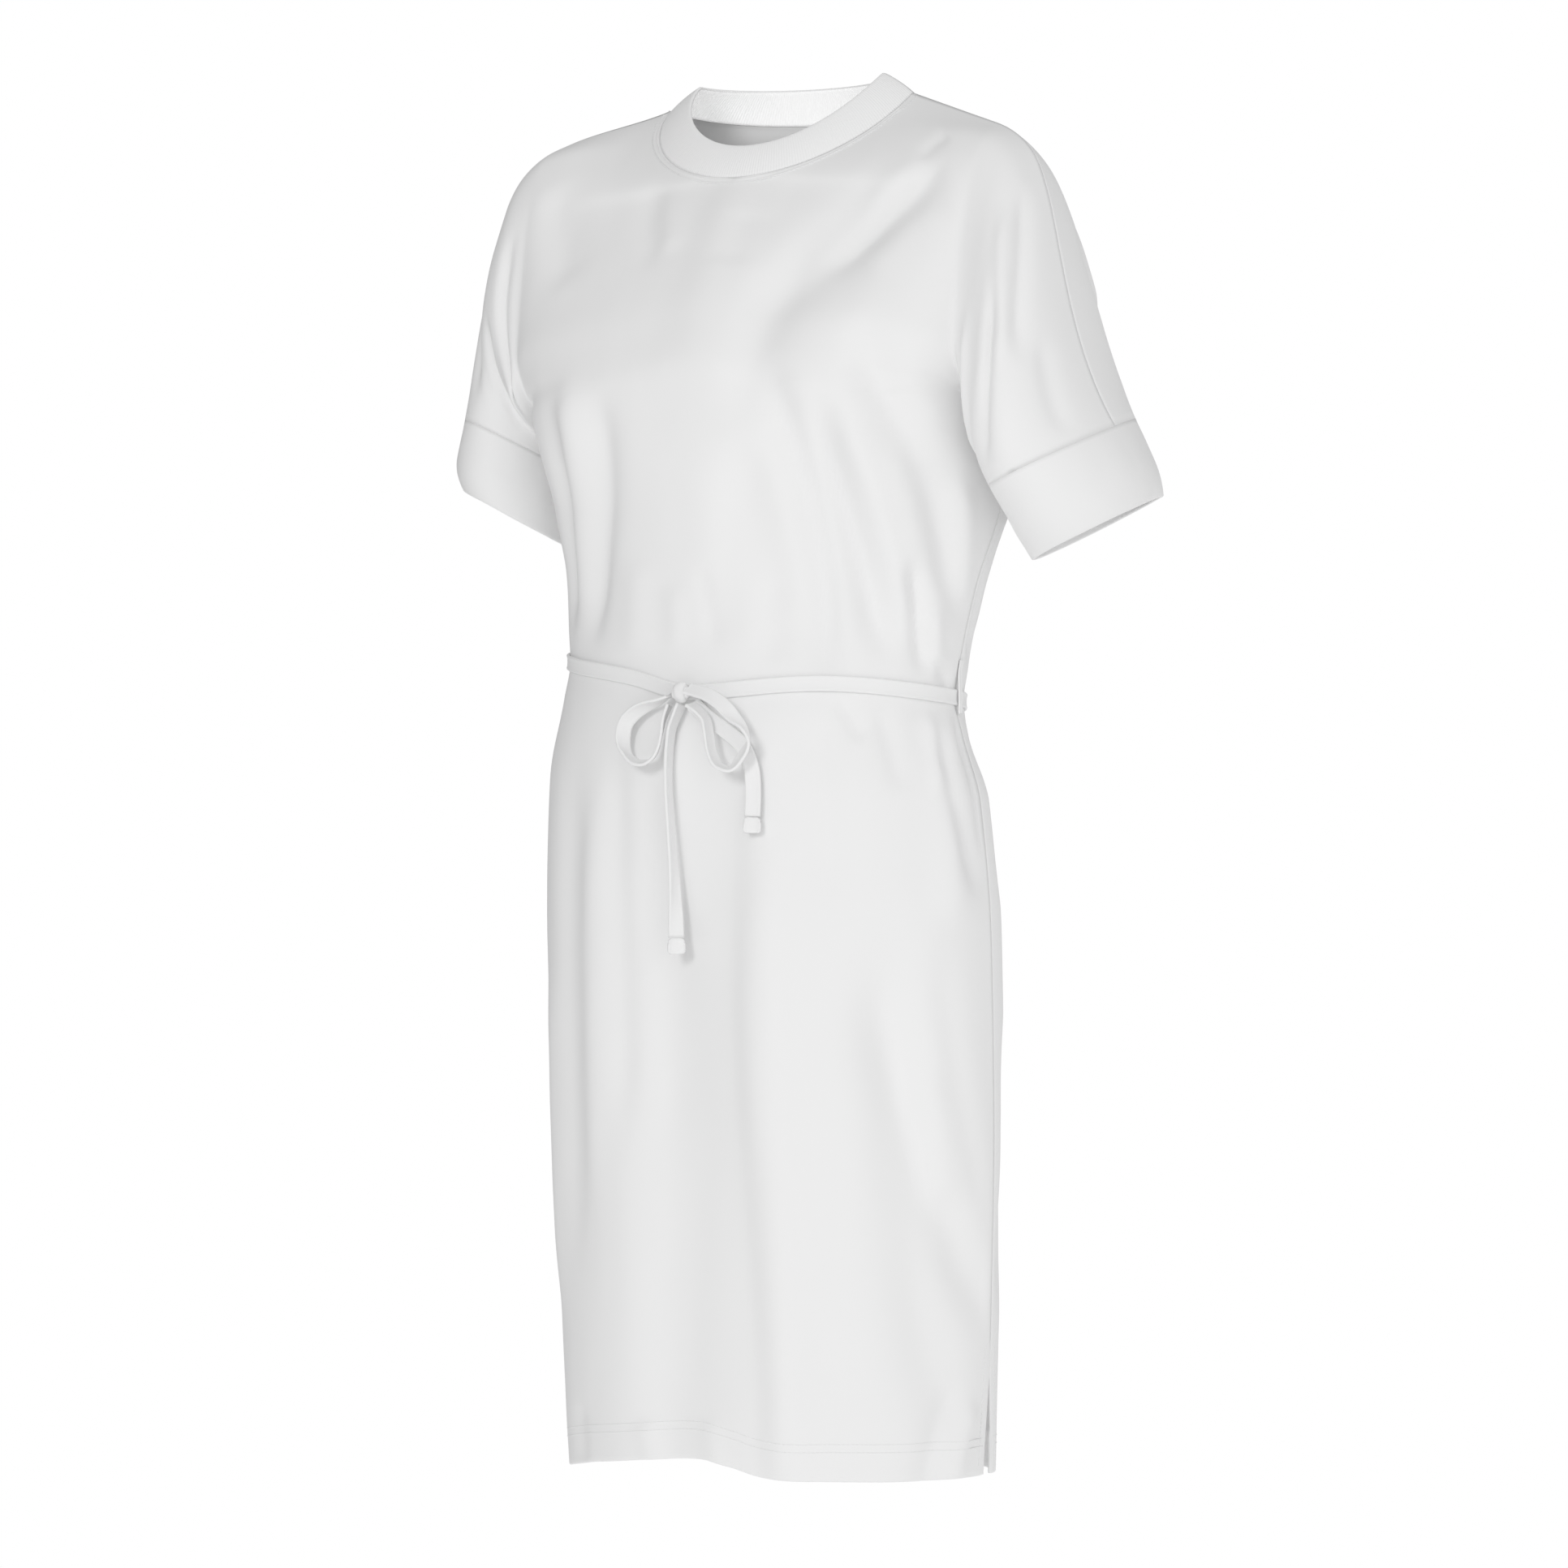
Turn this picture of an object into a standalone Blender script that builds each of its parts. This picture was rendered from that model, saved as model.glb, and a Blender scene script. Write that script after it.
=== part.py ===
"""A belted T-shirt dress of heavy cotton jersey with cut-on half sleeves, as it hangs when worn.

Metres, +Z up, +X to the wearer's left and -Y to the front. The origin is midway between the two
points where the shoulder seams meet the neck band.
"""

import math
from collections import namedtuple

import bmesh
import bpy
import numpy as np
from mathutils import Vector

# Driving dimensions
LENGTH = 0.975  # high shoulder point to hem, straight down
CLOTH = 0.0015  # wall of one layer of jersey
HEM_DEPTH = 0.027
HEM_EXTRA = 0.0010  # what the turned hem adds to the wall
SLIT_LENGTH = 0.090
SLIT_PARTING = 0.010  # how far front and back stand apart at the foot of a slit
SLIT_REACH = 5  # the parting dies away over this part of a row, as one over a share
SEAM_HALF_GAP = 0.0002
BAND_GAP = 0.0006
NECK_HALF_WIDTH = 0.100
NECK_FRONT_REACH = 0.078
NECK_FRONT_DROP = 0.062
NECK_BACK_REACH = 0.062
NECK_BACK_DROP = 0.010
NECK_BAND_WALL = 0.0024
BAND_HALF_WIDTH = 0.0765  # the band's top edge
BAND_FRONT_REACH = 0.064
BAND_BACK_REACH = 0.052
BAND_RISE = 0.0155
BAND_FRONT_DROP = 0.054
BAND_BACK_DROP = 0.001
BAND_DIP_POWER = 1.2
BAND_BULGE = 0.0010
UNDERARM_DROP = 0.238
CHEST_DROP = 0.300  # the first ring that runs level all round
CHEST_RISE = 0.035  # how much higher the underarm row reaches at the centre
CUFF_DEPTH = 0.058
CUFF_WALL = 0.0024
BELT_DROP = 0.425
BELT_WIDTH = 0.011
BELT_WALL = 0.0024
BELT_GAP = 0.0003
BELT_LOOP_WIDTH = 0.0045
BELT_LOOP_WALL = 0.0012

# Levels number the rows of a panel: 0 shoulder seam, 1 underarm, 2 chest ring, 3 hem
UNDERARM_LEVEL = 1.0
CHEST_LEVEL = 2.0
SQUARE_END_LEVEL = 2.1  # where the square chest has become the oval of the waist and skirt
HEM_LEVEL = 3.0

NECK_LEVEL = {"front": 0.42, "back": 0.30}  # the row that reaches the centre line at the neck

# How squarely a row rounds from the side to the centre: 0.55 is an ellipse
STRAIGHT_PULL = 0.34
LEAST_TURN = 0.05
UNDERARM_SIDE_PULL = 0.80
UNDERARM_CENTRE_PULL = 0.70
SIDE_PULL = {"front": 0.57, "back": 0.52}
CENTRE_PULL = {"front": 0.60, "back": 0.56}

# Body rings from the underarm to the hem. front, back and side are the places of the centre
# front, the centre back and the side seam along Y.
Ring = namedtuple("Ring", "drop half_width front back side")
RINGS = [
    Ring(0.062, 0.186, -0.078, 0.075, 0.004),
    Ring(0.110, 0.186, -0.109, 0.092, 0.004),
    Ring(0.160, 0.186, -0.134, 0.103, 0.004),
    Ring(0.205, 0.186, -0.146, 0.104, 0.004),
    Ring(0.238, 0.183, -0.146, 0.100, 0.004),
    Ring(0.300, 0.173, -0.143, 0.089, -0.007),
    Ring(0.350, 0.160, -0.142, 0.074, -0.018),
    Ring(0.405, 0.152, -0.145, 0.063, -0.028),
    Ring(0.425, 0.150, -0.145, 0.058, -0.030),
    Ring(0.450, 0.155, -0.149, 0.063, -0.029),
    Ring(0.500, 0.168, -0.154, 0.078, -0.026),
    Ring(0.600, 0.173, -0.155, 0.088, -0.019),
    Ring(0.720, 0.172, -0.150, 0.090, -0.013),
    Ring(0.860, 0.167, -0.144, 0.089, -0.008),
    Ring(0.985, 0.162, -0.138, 0.088, -0.005),
]

# The fold where the cut-on sleeve leaves the body, from the shoulder seam down to the underarm.
# front and back are its places along Y. turn_front and turn_back are how far the body cloth has
# turned from straight across to straight forwards or back where it reaches that fold.
Armhole = namedtuple("Armhole", "level drop out front back turn_front turn_back")
ARMHOLE = [
    Armhole(0.00, 0.0310, 0.1850, -0.018, -0.018, 0, 0),
    Armhole(0.12, 0.0390, 0.1845, -0.043, 0.006, 8, 8),
    Armhole(0.30, 0.0670, 0.1820, -0.063, 0.032, 20, 18),
    Armhole(0.55, 0.1270, 0.1795, -0.079, 0.060, 36, 34),
    Armhole(0.78, 0.1880, 0.1785, -0.086, 0.070, 54, 52),
    Armhole(0.90, 0.2180, 0.1805, -0.062, 0.048, 72, 70),
    Armhole(1.00, 0.2380, 0.1830, 0.004, 0.004, 90, 90),
]

# How a sleeve leaves that fold, by level round the armhole, and how long its run into the cuff is
SleeveStart = namedtuple("SleeveStart", "level out forward down run_in")
SLEEVE_START = [
    SleeveStart(0.00, 0.047, 0.000, 0.018, 0.100),
    SleeveStart(0.25, 0.041, 0.008, 0.028, 0.085),
    SleeveStart(0.55, 0.034, 0.016, 0.040, 0.060),
    SleeveStart(0.80, 0.016, 0.014, 0.030, 0.030),
    SleeveStart(1.00, 0.005, 0.000, 0.008, 0.010),
]

# The centre of each cuff's edge. lift raises that shoulder, which the right one is.
# seam_out is how far out its upper seam is, and opens_back how far its mouth is turned backwards.
Cuff = namedtuple(
    "Cuff", "name side out back drop lift seam_out seam_back half_out half_deep opens_back curl"
)
CUFFS = [
    Cuff("left", 1, 0.2405, 0.016, 0.312, 0.000, 0.2235, -0.0085, 0.046, 0.082, 0.2145, 0.0045),
    Cuff("right", -1, 0.231, -0.002, 0.299, 0.006, 0.2265, 0.0104, 0.044, 0.074, -0.2145, 0.0100),
]
SHOULDER_OUT = 0.185
CUFF_HALF_OUT = 0.050
CUFF_HALF_DEEP = 0.066
CUFF_CURL_FROM = 0.50  # where along its depth a cuff starts to curl in
CUFF_OPENS_OUT = 0.3715  # how far a cuff's mouth is turned outwards, and how far down
CUFF_OPENS_DOWN = 0.903

# The belt's height round the waist: degrees from the centre front towards the wearer's left
BeltPoint = namedtuple("BeltPoint", "degrees rise")
BELT_LINE = [
    BeltPoint(-180, -0.006),
    BeltPoint(-135, 0.010),
    BeltPoint(-90, 0.025),
    BeltPoint(-45, 0.0155),
    BeltPoint(-22, 0.0085),
    BeltPoint(0, -0.0025),
    BeltPoint(45, 0.0035),
    BeltPoint(90, -0.0055),
    BeltPoint(135, -0.015),
    BeltPoint(180, -0.006),
]
BELT_FRONT = 5  # the centre front's row in BELT_LINE
BELT_LINE_REACH = 0.100  # how far up and down the cloth the belt's slant is felt

# The hem's height round the skirt, in the same degrees
HemPoint = namedtuple("HemPoint", "degrees rise")
HEM_LINE = [
    HemPoint(-180, -0.003),
    HemPoint(-90, -0.009),
    HemPoint(-45, 0.005),
    HemPoint(-15, 0.012),
    HemPoint(3, 0.014),
    HemPoint(15, 0.010),
    HemPoint(28, 0.004),
    HemPoint(55, 0.002),
    HemPoint(90, 0.000),
    HemPoint(180, -0.003),
]
HEM_LINE_REACH = 0.150

# Largest folds. across is metres from the centre line, to the wearer's left, and drop is metres
# below the shoulder. depth is outwards, and low and high are the half widths to either side.
Fold = namedtuple("Fold", "panel across drop to_across to_drop bend low high depth")
FOLDS = [
    Fold("front", 0.165, 0.060, 0.030, 0.170, 0.010, 0.022, 0.026, -0.0050),
    Fold("front", 0.040, 0.240, 0.085, 0.420, -0.004, 0.022, 0.020, -0.0060),
    Fold("front", 0.085, 0.210, 0.150, 0.420, -0.006, 0.020, 0.020, -0.0060),
    Fold("front", 0.150, 0.240, 0.195, 0.400, 0.000, 0.018, 0.018, 0.0050),
    Fold("front", -0.135, 0.210, -0.120, 0.400, 0.000, 0.020, 0.020, -0.0050),
    Fold("front", -0.020, 0.460, -0.018, 1.040, 0.006, 0.026, 0.034, -0.0120),
    Fold("front", 0.062, 0.470, 0.066, 1.040, 0.004, 0.048, 0.026, 0.0100),
    Fold("front", 0.150, 0.560, 0.190, 0.960, -0.010, 0.026, 0.024, -0.0080),
    Fold("front", 0.195, 0.430, 0.205, 0.600, 0.000, 0.016, 0.020, 0.0060),
    Fold("back", -0.060, 0.210, -0.040, 0.430, 0.004, 0.026, 0.024, -0.0060),
    Fold("back", 0.070, 0.230, 0.050, 0.430, 0.004, 0.024, 0.028, -0.0060),
    Fold("back", -0.075, 0.470, -0.085, 1.040, 0.004, 0.032, 0.040, -0.0090),
    Fold("back", 0.030, 0.500, 0.040, 1.040, -0.006, 0.040, 0.034, 0.0080),
    Fold("back", 0.120, 0.480, 0.135, 1.040, 0.004, 0.030, 0.032, -0.0080),
]
FOLD_FADE = 0.22  # share of a fold's length over which each end dies away

# The tied bow. Each strip runs through points given as metres across from the knot, off the cloth
# and up from the belt's middle. faces are the ways its broad side looks, evenly along it.
KNOT_HALF_WIDTH = 0.0085
KNOT_HALF_HEIGHT = 0.0078
KNOT_HALF_DEPTH = 0.0052
Strip = namedtuple("Strip", "name points faces")
BOW_STRIPS = [
    Strip(
        "bow_loop_right",
        [
            (-0.0083, 0.0098, -0.0020), (-0.0165, 0.0105, -0.0060), (-0.0265, 0.0112, -0.0092),
            (-0.0368, 0.0112, -0.0145), (-0.0432, 0.0110, -0.0211), (-0.0453, 0.0108, -0.0300),
            (-0.0430, 0.0106, -0.0395), (-0.0370, 0.0105, -0.0460), (-0.0290, 0.0104, -0.0489),
            (-0.0215, 0.0103, -0.0478), (-0.0168, 0.0102, -0.0440), (-0.0140, 0.0100, -0.0380),
            (-0.0124, 0.0098, -0.0290), (-0.0112, 0.0096, -0.0190), (-0.0082, 0.0090, -0.0088),
        ],
        [
            (0.35, 0.20, -0.85), (0.25, -0.60, -0.75), (0.40, -0.90, -0.10), (0.72, -0.05, 0.60),
            (-0.43, -0.25, 0.74), (-0.85, -0.49, 0.17), (-0.97, -0.25, 0.05),
        ],
    ),
    Strip(
        "bow_loop_left",
        [
            (0.0075, 0.0120, 0.0025), (0.0253, 0.0140, -0.0022), (0.0351, 0.0150, -0.0078),
            (0.0449, 0.0155, -0.0167), (0.0541, 0.0160, -0.0256), (0.0575, 0.0158, -0.0344),
            (0.0530, 0.0150, -0.0444), (0.0448, 0.0142, -0.0530), (0.0371, 0.0140, -0.0510),
            (0.0312, 0.0138, -0.0422), (0.0274, 0.0136, -0.0289), (0.0240, 0.0132, -0.0185),
            (0.0180, 0.0136, -0.0125), (0.0112, 0.0136, -0.0082),
        ],
        [
            (0.20, -0.60, 0.75), (0.30, -0.75, 0.60), (0.35, -0.80, 0.45), (0.80, 0.11, 0.42),
            (0.55, 0.75, -0.30), (-0.20, 0.15, -0.95), (-0.85, 0.15, -0.35), (-0.90, 0.10, -0.30),
            (-0.45, 0.25, -0.80),
        ],
    ),
    Strip(
        "belt_tail_long",
        [
            (0.0008, 0.0085, -0.0082), (-0.0020, 0.0082, -0.0160), (-0.0050, 0.0078, -0.0240),
            (-0.0063, 0.0075, -0.0360), (-0.0065, 0.0076, -0.0600), (-0.0053, 0.0086, -0.0934),
            (-0.0032, 0.0100, -0.1270), (-0.0009, 0.0118, -0.1600), (-0.0004, 0.0122, -0.1700),
        ],
        [
            (1.00, 0.00, 0.10), (1.00, 0.05, 0.00), (1.00, 0.10, 0.00), (1.00, 0.10, 0.00),
            (1.00, 0.00, 0.00), (0.90, -0.30, 0.00), (0.60, -0.80, 0.00),
        ],
    ),
    Strip(
        "belt_tail_short",
        [
            (0.0080, 0.0043, -0.0080), (0.0200, 0.0043, -0.0170), (0.0340, 0.0043, -0.0260),
            (0.0480, 0.0052, -0.0370), (0.0560, 0.0054, -0.0530), (0.0585, 0.0056, -0.0700),
            (0.0590, 0.0058, -0.0860),
        ],
        [(0.20, -1.00, 0.20), (0.35, -0.95, 0.05), (0.45, -0.90, 0.00)],
    ),
]
TAIL_KNOT_HALF_LENGTH = 0.0055
TAIL_KNOT_HALF_WIDTH = 0.0065
TAIL_KNOT_HALF_DEPTH = 0.0028
TAIL_KNOT_GAP = 0.0004

# The thread-narrow loops that carry the belt: metres off the cloth and up from the belt's middle
LoopPoint = namedtuple("LoopPoint", "off rise")
BELT_LOOP_RUN = [
    LoopPoint(0.0010, 0.0260),
    LoopPoint(0.0012, 0.0180),
    LoopPoint(0.0030, 0.0095),
    LoopPoint(0.0038, 0.0050),
    LoopPoint(0.0038, -0.0050),
    LoopPoint(0.0031, -0.0085),
    LoopPoint(0.0024, -0.0115),
]

# How finely the solids are cut
BODY_SHARES = (0, 0.012, 0.085, 0.17, 0.26, 0.35, 0.44, 0.53, 0.62, 0.71, 0.80, 0.90, 1.0)
ARM_LEVELS = {
    "front": (0, 0.012, 0.07, 0.14, 0.21, 0.28, 0.35, 0.42, 0.52, 0.63, 0.73, 0.82, 0.91, 1.0),
    "back": (0, 0.012, 0.075, 0.15, 0.225, 0.30, 0.40, 0.51, 0.62, 0.73, 0.82, 0.91, 1.0),
}
SIDE_LEVELS = (1.35, 1.7)
SLEEVE_STEPS = 6
SKIRT_DROPS = (
    0.300, 0.330, 0.360, 0.388, 0.408, BELT_DROP - BELT_WIDTH / 2, BELT_DROP + BELT_WIDTH / 2,
    0.442, 0.462, 0.490, 0.525, 0.565, 0.610, 0.655, 0.700, 0.745, 0.790, 0.840,
    LENGTH - SLIT_LENGTH, 0.915, LENGTH - HEM_DEPTH, LENGTH,
)
CUFF_ROWS = 5
BAND_ROWS = 3
STRIP_STEPS = 26
LOOP_STEPS = 12

CREAM_WHITE = (0.86, 0.86, 0.86)
JERSEY_ROUGHNESS = 0.9


def read(table, column, at):
    """Reads one column of a table along its first column, on a smooth curve with no overshoot."""
    places = np.array([row[0] for row in table], float)
    values = np.array([getattr(row, column) for row in table], float)
    steps = np.diff(places)
    slopes = np.diff(values) / steps
    before, after = slopes[:-1], slopes[1:]
    weigh_before = steps[:-1] + 2 * steps[1:]
    weigh_after = 2 * steps[:-1] + steps[1:]
    same_way = before * after > 0
    inner = np.zeros(len(before))
    inner[same_way] = (weigh_before + weigh_after)[same_way] / (
        weigh_before[same_way] / before[same_way] + weigh_after[same_way] / after[same_way]
    )
    tangents = np.concatenate([[slopes[0]], inner, [slopes[-1]]])
    at = np.clip(np.asarray(at, float), places[0], places[-1])
    cell = np.clip(np.searchsorted(places, at, side="right") - 1, 0, len(steps) - 1)
    step = steps[cell]
    t = (at - places[cell]) / step
    return (
        values[cell] * (1 + 2 * t) * (1 - t) ** 2
        + tangents[cell] * step * t * (1 - t) ** 2
        + values[cell + 1] * t**2 * (3 - 2 * t)
        - tangents[cell + 1] * step * t**2 * (1 - t)
    )


def ease(t):
    t = np.clip(t, 0, 1)
    return t * t * (3 - 2 * t)


def bezier(p0, p1, p2, p3, t):
    t = np.asarray(t, float)[..., None]
    return p0 * (1 - t) ** 3 + 3 * p1 * t * (1 - t) ** 2 + 3 * p2 * t**2 * (1 - t) + p3 * t**3


def unit(vector):
    vector = np.asarray(vector, float)
    return vector / np.linalg.norm(vector, axis=-1, keepdims=True)


def neckline(panel, share):
    """The seam of panel and neck band, from the high shoulder point (0) to the centre line (1)."""
    front = panel == "front"
    angle = share * math.pi / 2
    reach = -NECK_FRONT_REACH if front else NECK_BACK_REACH
    drop = NECK_FRONT_DROP if front else NECK_BACK_DROP
    return np.array(
        [NECK_HALF_WIDTH * math.cos(angle), reach * math.sin(angle), -drop * math.sin(angle) ** 1.1]
    )


def centre_point(panel, level):
    """Where a panel's row ends: on the neckline, or on the centre line under it."""
    neck_level = NECK_LEVEL[panel]
    if level <= neck_level:
        return neckline(panel, level / neck_level)
    top = NECK_FRONT_DROP if panel == "front" else NECK_BACK_DROP
    low = UNDERARM_DROP - CHEST_RISE
    if level <= UNDERARM_LEVEL:
        drop = top + (low - top) * (level - neck_level) / (UNDERARM_LEVEL - neck_level)
    elif level <= CHEST_LEVEL:
        drop = low + (CHEST_DROP - low) * (level - UNDERARM_LEVEL)
    else:
        drop = level_drop(level)
    return np.array([0.0, centre_place(panel, drop), -drop])


def centre_place(panel, drop):
    """How far forwards or back the centre line lies."""
    if panel == "front":
        return float(read(RINGS, "front", drop))
    at_neck = NECK_BACK_REACH
    blend = ease((drop - NECK_BACK_DROP) / (RINGS[1].drop - NECK_BACK_DROP))
    return float(at_neck + (read(RINGS, "back", drop) - at_neck) * blend)


def level_drop(level):
    return CHEST_DROP + (level - CHEST_LEVEL) * (LENGTH - CHEST_DROP)


def drop_level(drop):
    return CHEST_LEVEL + (drop - CHEST_DROP) / (LENGTH - CHEST_DROP)


def side_point(panel, level):
    """Where a row of the wearer's left half starts: on the armhole fold or on the side seam."""
    if level <= UNDERARM_LEVEL:
        place = read(ARMHOLE, panel, level)
        return np.array([read(ARMHOLE, "out", level), place, -read(ARMHOLE, "drop", level)])
    if level <= CHEST_LEVEL:
        drop = UNDERARM_DROP + (CHEST_DROP - UNDERARM_DROP) * (level - UNDERARM_LEVEL)
    else:
        drop = level_drop(level)
    return np.array([read(RINGS, "half_width", drop), read(RINGS, "side", drop), -drop])


def pulls(panel, level):
    """How squarely a row rounds: straight at the shoulder, square at the underarm, then an oval."""
    if level <= UNDERARM_LEVEL:
        share = ease(level / UNDERARM_LEVEL)
        side, centre = UNDERARM_SIDE_PULL, UNDERARM_CENTRE_PULL
        return STRAIGHT_PULL + (side - STRAIGHT_PULL) * share, STRAIGHT_PULL + (centre - STRAIGHT_PULL) * share
    share = ease((level - UNDERARM_LEVEL) / (SQUARE_END_LEVEL - UNDERARM_LEVEL))
    side = UNDERARM_SIDE_PULL + (SIDE_PULL[panel] - UNDERARM_SIDE_PULL) * share
    centre = UNDERARM_CENTRE_PULL + (CENTRE_PULL[panel] - UNDERARM_CENTRE_PULL) * share
    return side, centre


def body_row(panel, level, shares):
    """One row of the wearer's left half, from the side (share 0) to the centre (share 1)."""
    forward = -1 if panel == "front" else 1
    start = side_point(panel, level)
    end = centre_point(panel, level)
    across = abs(start[0] - end[0])
    deep = abs(end[1] - start[1])
    turn = math.radians(90)
    if level < UNDERARM_LEVEL:
        turn = math.radians(read(ARMHOLE, "turn_" + panel, level))
    side_pull, centre_pull = pulls(panel, level)
    leave = min(deep / max(math.sin(turn), LEAST_TURN), across)
    turned = across - leave * math.cos(turn)
    rise = end[2] - start[2]
    near_side = start + side_pull * np.array(
        [-math.cos(turn) * leave, forward * math.sin(turn) * leave, rise]
    )
    neck = 1 - ease(level / NECK_LEVEL[panel])
    turned += (across - turned) * neck
    slant = (end[1] - start[1]) * neck
    near_centre = end + centre_pull * np.array([turned, -slant, -rise])
    return bezier(start, near_side, near_centre, end, shares)


def fold_depth(panel, across, drop):
    """How far the cloth is pushed out by the folds that run over a place on a panel."""
    depth = np.zeros(np.shape(across))
    for fold in FOLDS:
        if fold.panel != panel:
            continue
        run = np.array([fold.to_across - fold.across, fold.to_drop - fold.drop])
        length = np.hypot(*run)
        along = ((across - fold.across) * run[0] + (drop - fold.drop) * run[1]) / length**2
        aside = ((across - fold.across) * run[1] - (drop - fold.drop) * run[0]) / length
        aside = aside - 4 * fold.bend * np.clip(along, 0, 1) * (1 - np.clip(along, 0, 1))
        half = np.where(aside < 0, fold.low, fold.high)
        fade = ease(along / FOLD_FADE) * ease((1 - along) / FOLD_FADE)
        depth = depth + fold.depth * np.exp(-((aside / half) ** 2)) * fade
    return depth


def row_rise(points):
    """Lifts the rows near the waist so that they run along the belt, and those near the hem."""
    degrees = np.degrees(np.arctan2(points[..., 0], -(points[..., 1] - RINGS[8].side)))
    near = np.exp(-(((points[..., 2] + BELT_DROP) / BELT_LINE_REACH) ** 2))
    near_hem = np.exp(-(((points[..., 2] + LENGTH) / HEM_LINE_REACH) ** 2))
    return read(BELT_LINE, "rise", degrees) * near + read(HEM_LINE, "rise", degrees) * near_hem


def sleeve_axes(cuff):
    """The way a cuff opens, and the outward and the forward direction in its edge."""
    facing = unit((cuff.side * CUFF_OPENS_OUT, cuff.opens_back, -CUFF_OPENS_DOWN))
    sideways = np.array([cuff.side, 0.0, 0.0])
    outward = unit(sideways - np.dot(sideways, facing) * facing)
    forward = np.cross(facing, outward) * cuff.side
    return facing, outward, forward


def cuff_point(cuff, panel, level, depth_share):
    """A point of the cuff: depth_share 0 is its seam with the sleeve and 1 is its edge."""
    facing, outward, forward = sleeve_axes(cuff)
    edge = np.array([cuff.side * cuff.out, cuff.back, -cuff.drop])
    seam = edge - CUFF_DEPTH * facing
    seam[:2] = cuff.side * cuff.seam_out, cuff.seam_back
    angle = math.pi * level
    curled = max(depth_share - CUFF_CURL_FROM, 0) / (1 - CUFF_CURL_FROM)
    curl = cuff.curl * curled**2 * (0.6 + 0.4 * math.cos(angle))
    centre = seam + (edge - seam) * depth_share - facing * curl / 2
    half_out = cuff.half_out + (CUFF_HALF_OUT - cuff.half_out) * depth_share - curl
    half_deep = cuff.half_deep + (CUFF_HALF_DEEP - cuff.half_deep) * depth_share - curl
    to_front = math.sin(angle) * (1 if panel == "front" else -1)
    return centre + half_out * math.cos(angle) * outward + half_deep * to_front * forward


def sleeve_run(panel, cuff, level, shares):
    """The cloth from the armhole fold (share 0) to the cuff seam (share 1) at one level round it."""
    mirror = np.array([cuff.side, 1, 1])
    start = side_point(panel, level) * mirror
    end = cuff_point(cuff, panel, level, 0)
    into_cuff = unit(cuff_point(cuff, panel, level, CUFF_CURL_FROM) - end)
    forward = -1 if panel == "front" else 1
    leave = np.array(
        [
            read(SLEEVE_START, "out", level),
            forward * read(SLEEVE_START, "forward", level),
            -read(SLEEVE_START, "down", level),
        ]
    )
    run_in = read(SLEEVE_START, "run_in", level)
    return bezier(start, start + leave * mirror, end - into_cuff * run_in, end, shares)


def new_material(name):
    material = bpy.data.materials.new(name)
    material.use_nodes = True
    shader = material.node_tree.nodes["Principled BSDF"]
    shader.inputs["Base Color"].default_value = (*CREAM_WHITE, 1)
    shader.inputs["Roughness"].default_value = JERSEY_ROUGHNESS
    shader.inputs["Metallic"].default_value = 0
    return material


def add_object(name, bm, collection):
    """Turns a finished bmesh into the named piece."""
    mesh = bpy.data.meshes.new(name)
    bm.to_mesh(mesh)
    bm.free()
    mesh.materials.append(new_material(name))
    mesh.shade_smooth()
    collection.objects.link(bpy.data.objects.new(name, mesh))


def add_grid(bm, grid, known):
    """Adds the faces of a grid of points, and shares points that another grid has put there."""
    corners = []
    for row in grid:
        corners.append([])
        for point in row:
            key = tuple(np.round(point, 6))
            if key not in known:
                known[key] = bm.verts.new(point)
            corners[-1].append(known[key])
    for upper, lower in zip(corners, corners[1:]):
        for i in range(len(upper) - 1):
            around = [upper[i], upper[i + 1], lower[i + 1], lower[i]]
            bm.faces.new(around)
    return corners


def panel_levels(panel):
    return [*ARM_LEVELS[panel], *SIDE_LEVELS, *(drop_level(drop) for drop in SKIRT_DROPS)]


def shoulder_lift(cuff, points, level):
    """How much a raised shoulder lifts the rows above the underarm, most at the armhole."""
    outwards = ease((np.abs(points[..., 0]) - NECK_HALF_WIDTH) / (SHOULDER_OUT - NECK_HALF_WIDTH))
    return cuff.lift * outwards * ease(1 - level / UNDERARM_LEVEL)


def panel_sheet(panel):
    """The outer face of a panel, with its half sleeves, the points on its seams and its rows."""
    forward = -1 if panel == "front" else 1
    levels = panel_levels(panel)
    bm = bmesh.new()
    known = {}
    flat = {}
    seam_verts = set()
    body = {}
    for cuff in CUFFS:
        rows = []
        for level in levels:
            row = body_row(panel, level, BODY_SHARES) * (cuff.side, 1, 1)
            row[:, 2] += row_rise(row) + shoulder_lift(cuff, row, level)
            if level == 0:
                row[:, 1] += forward * SEAM_HALF_GAP
            if level >= UNDERARM_LEVEL:
                row[0, 1] += forward * SEAM_HALF_GAP
                row[:, 1] += forward * slit_parting(-row[:, 2]) * (1 - ease(SLIT_REACH * np.asarray(BODY_SHARES)))
            rows.append(row)
        corners = add_grid(bm, rows, known)
        body[cuff.name] = corners
        for verts, row, level in zip(corners, rows, levels):
            for vert, across, strength in zip(verts, girth(row), fold_strength(level)):
                flat[vert] = (cuff.side * across, -vert.co.z, strength)
            if level == 0:
                seam_verts.update(verts)
            if level >= UNDERARM_LEVEL:
                seam_verts.add(verts[0])
        sleeve = add_grid(bm, sleeve_sheet(panel, cuff, forward), known)
        seam_verts.update(sleeve[0] + sleeve[-1])
    face_outwards(bm, (0, forward, 0))
    push_out(panel, flat)
    bm.normal_update()
    return bm, seam_verts, body


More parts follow.
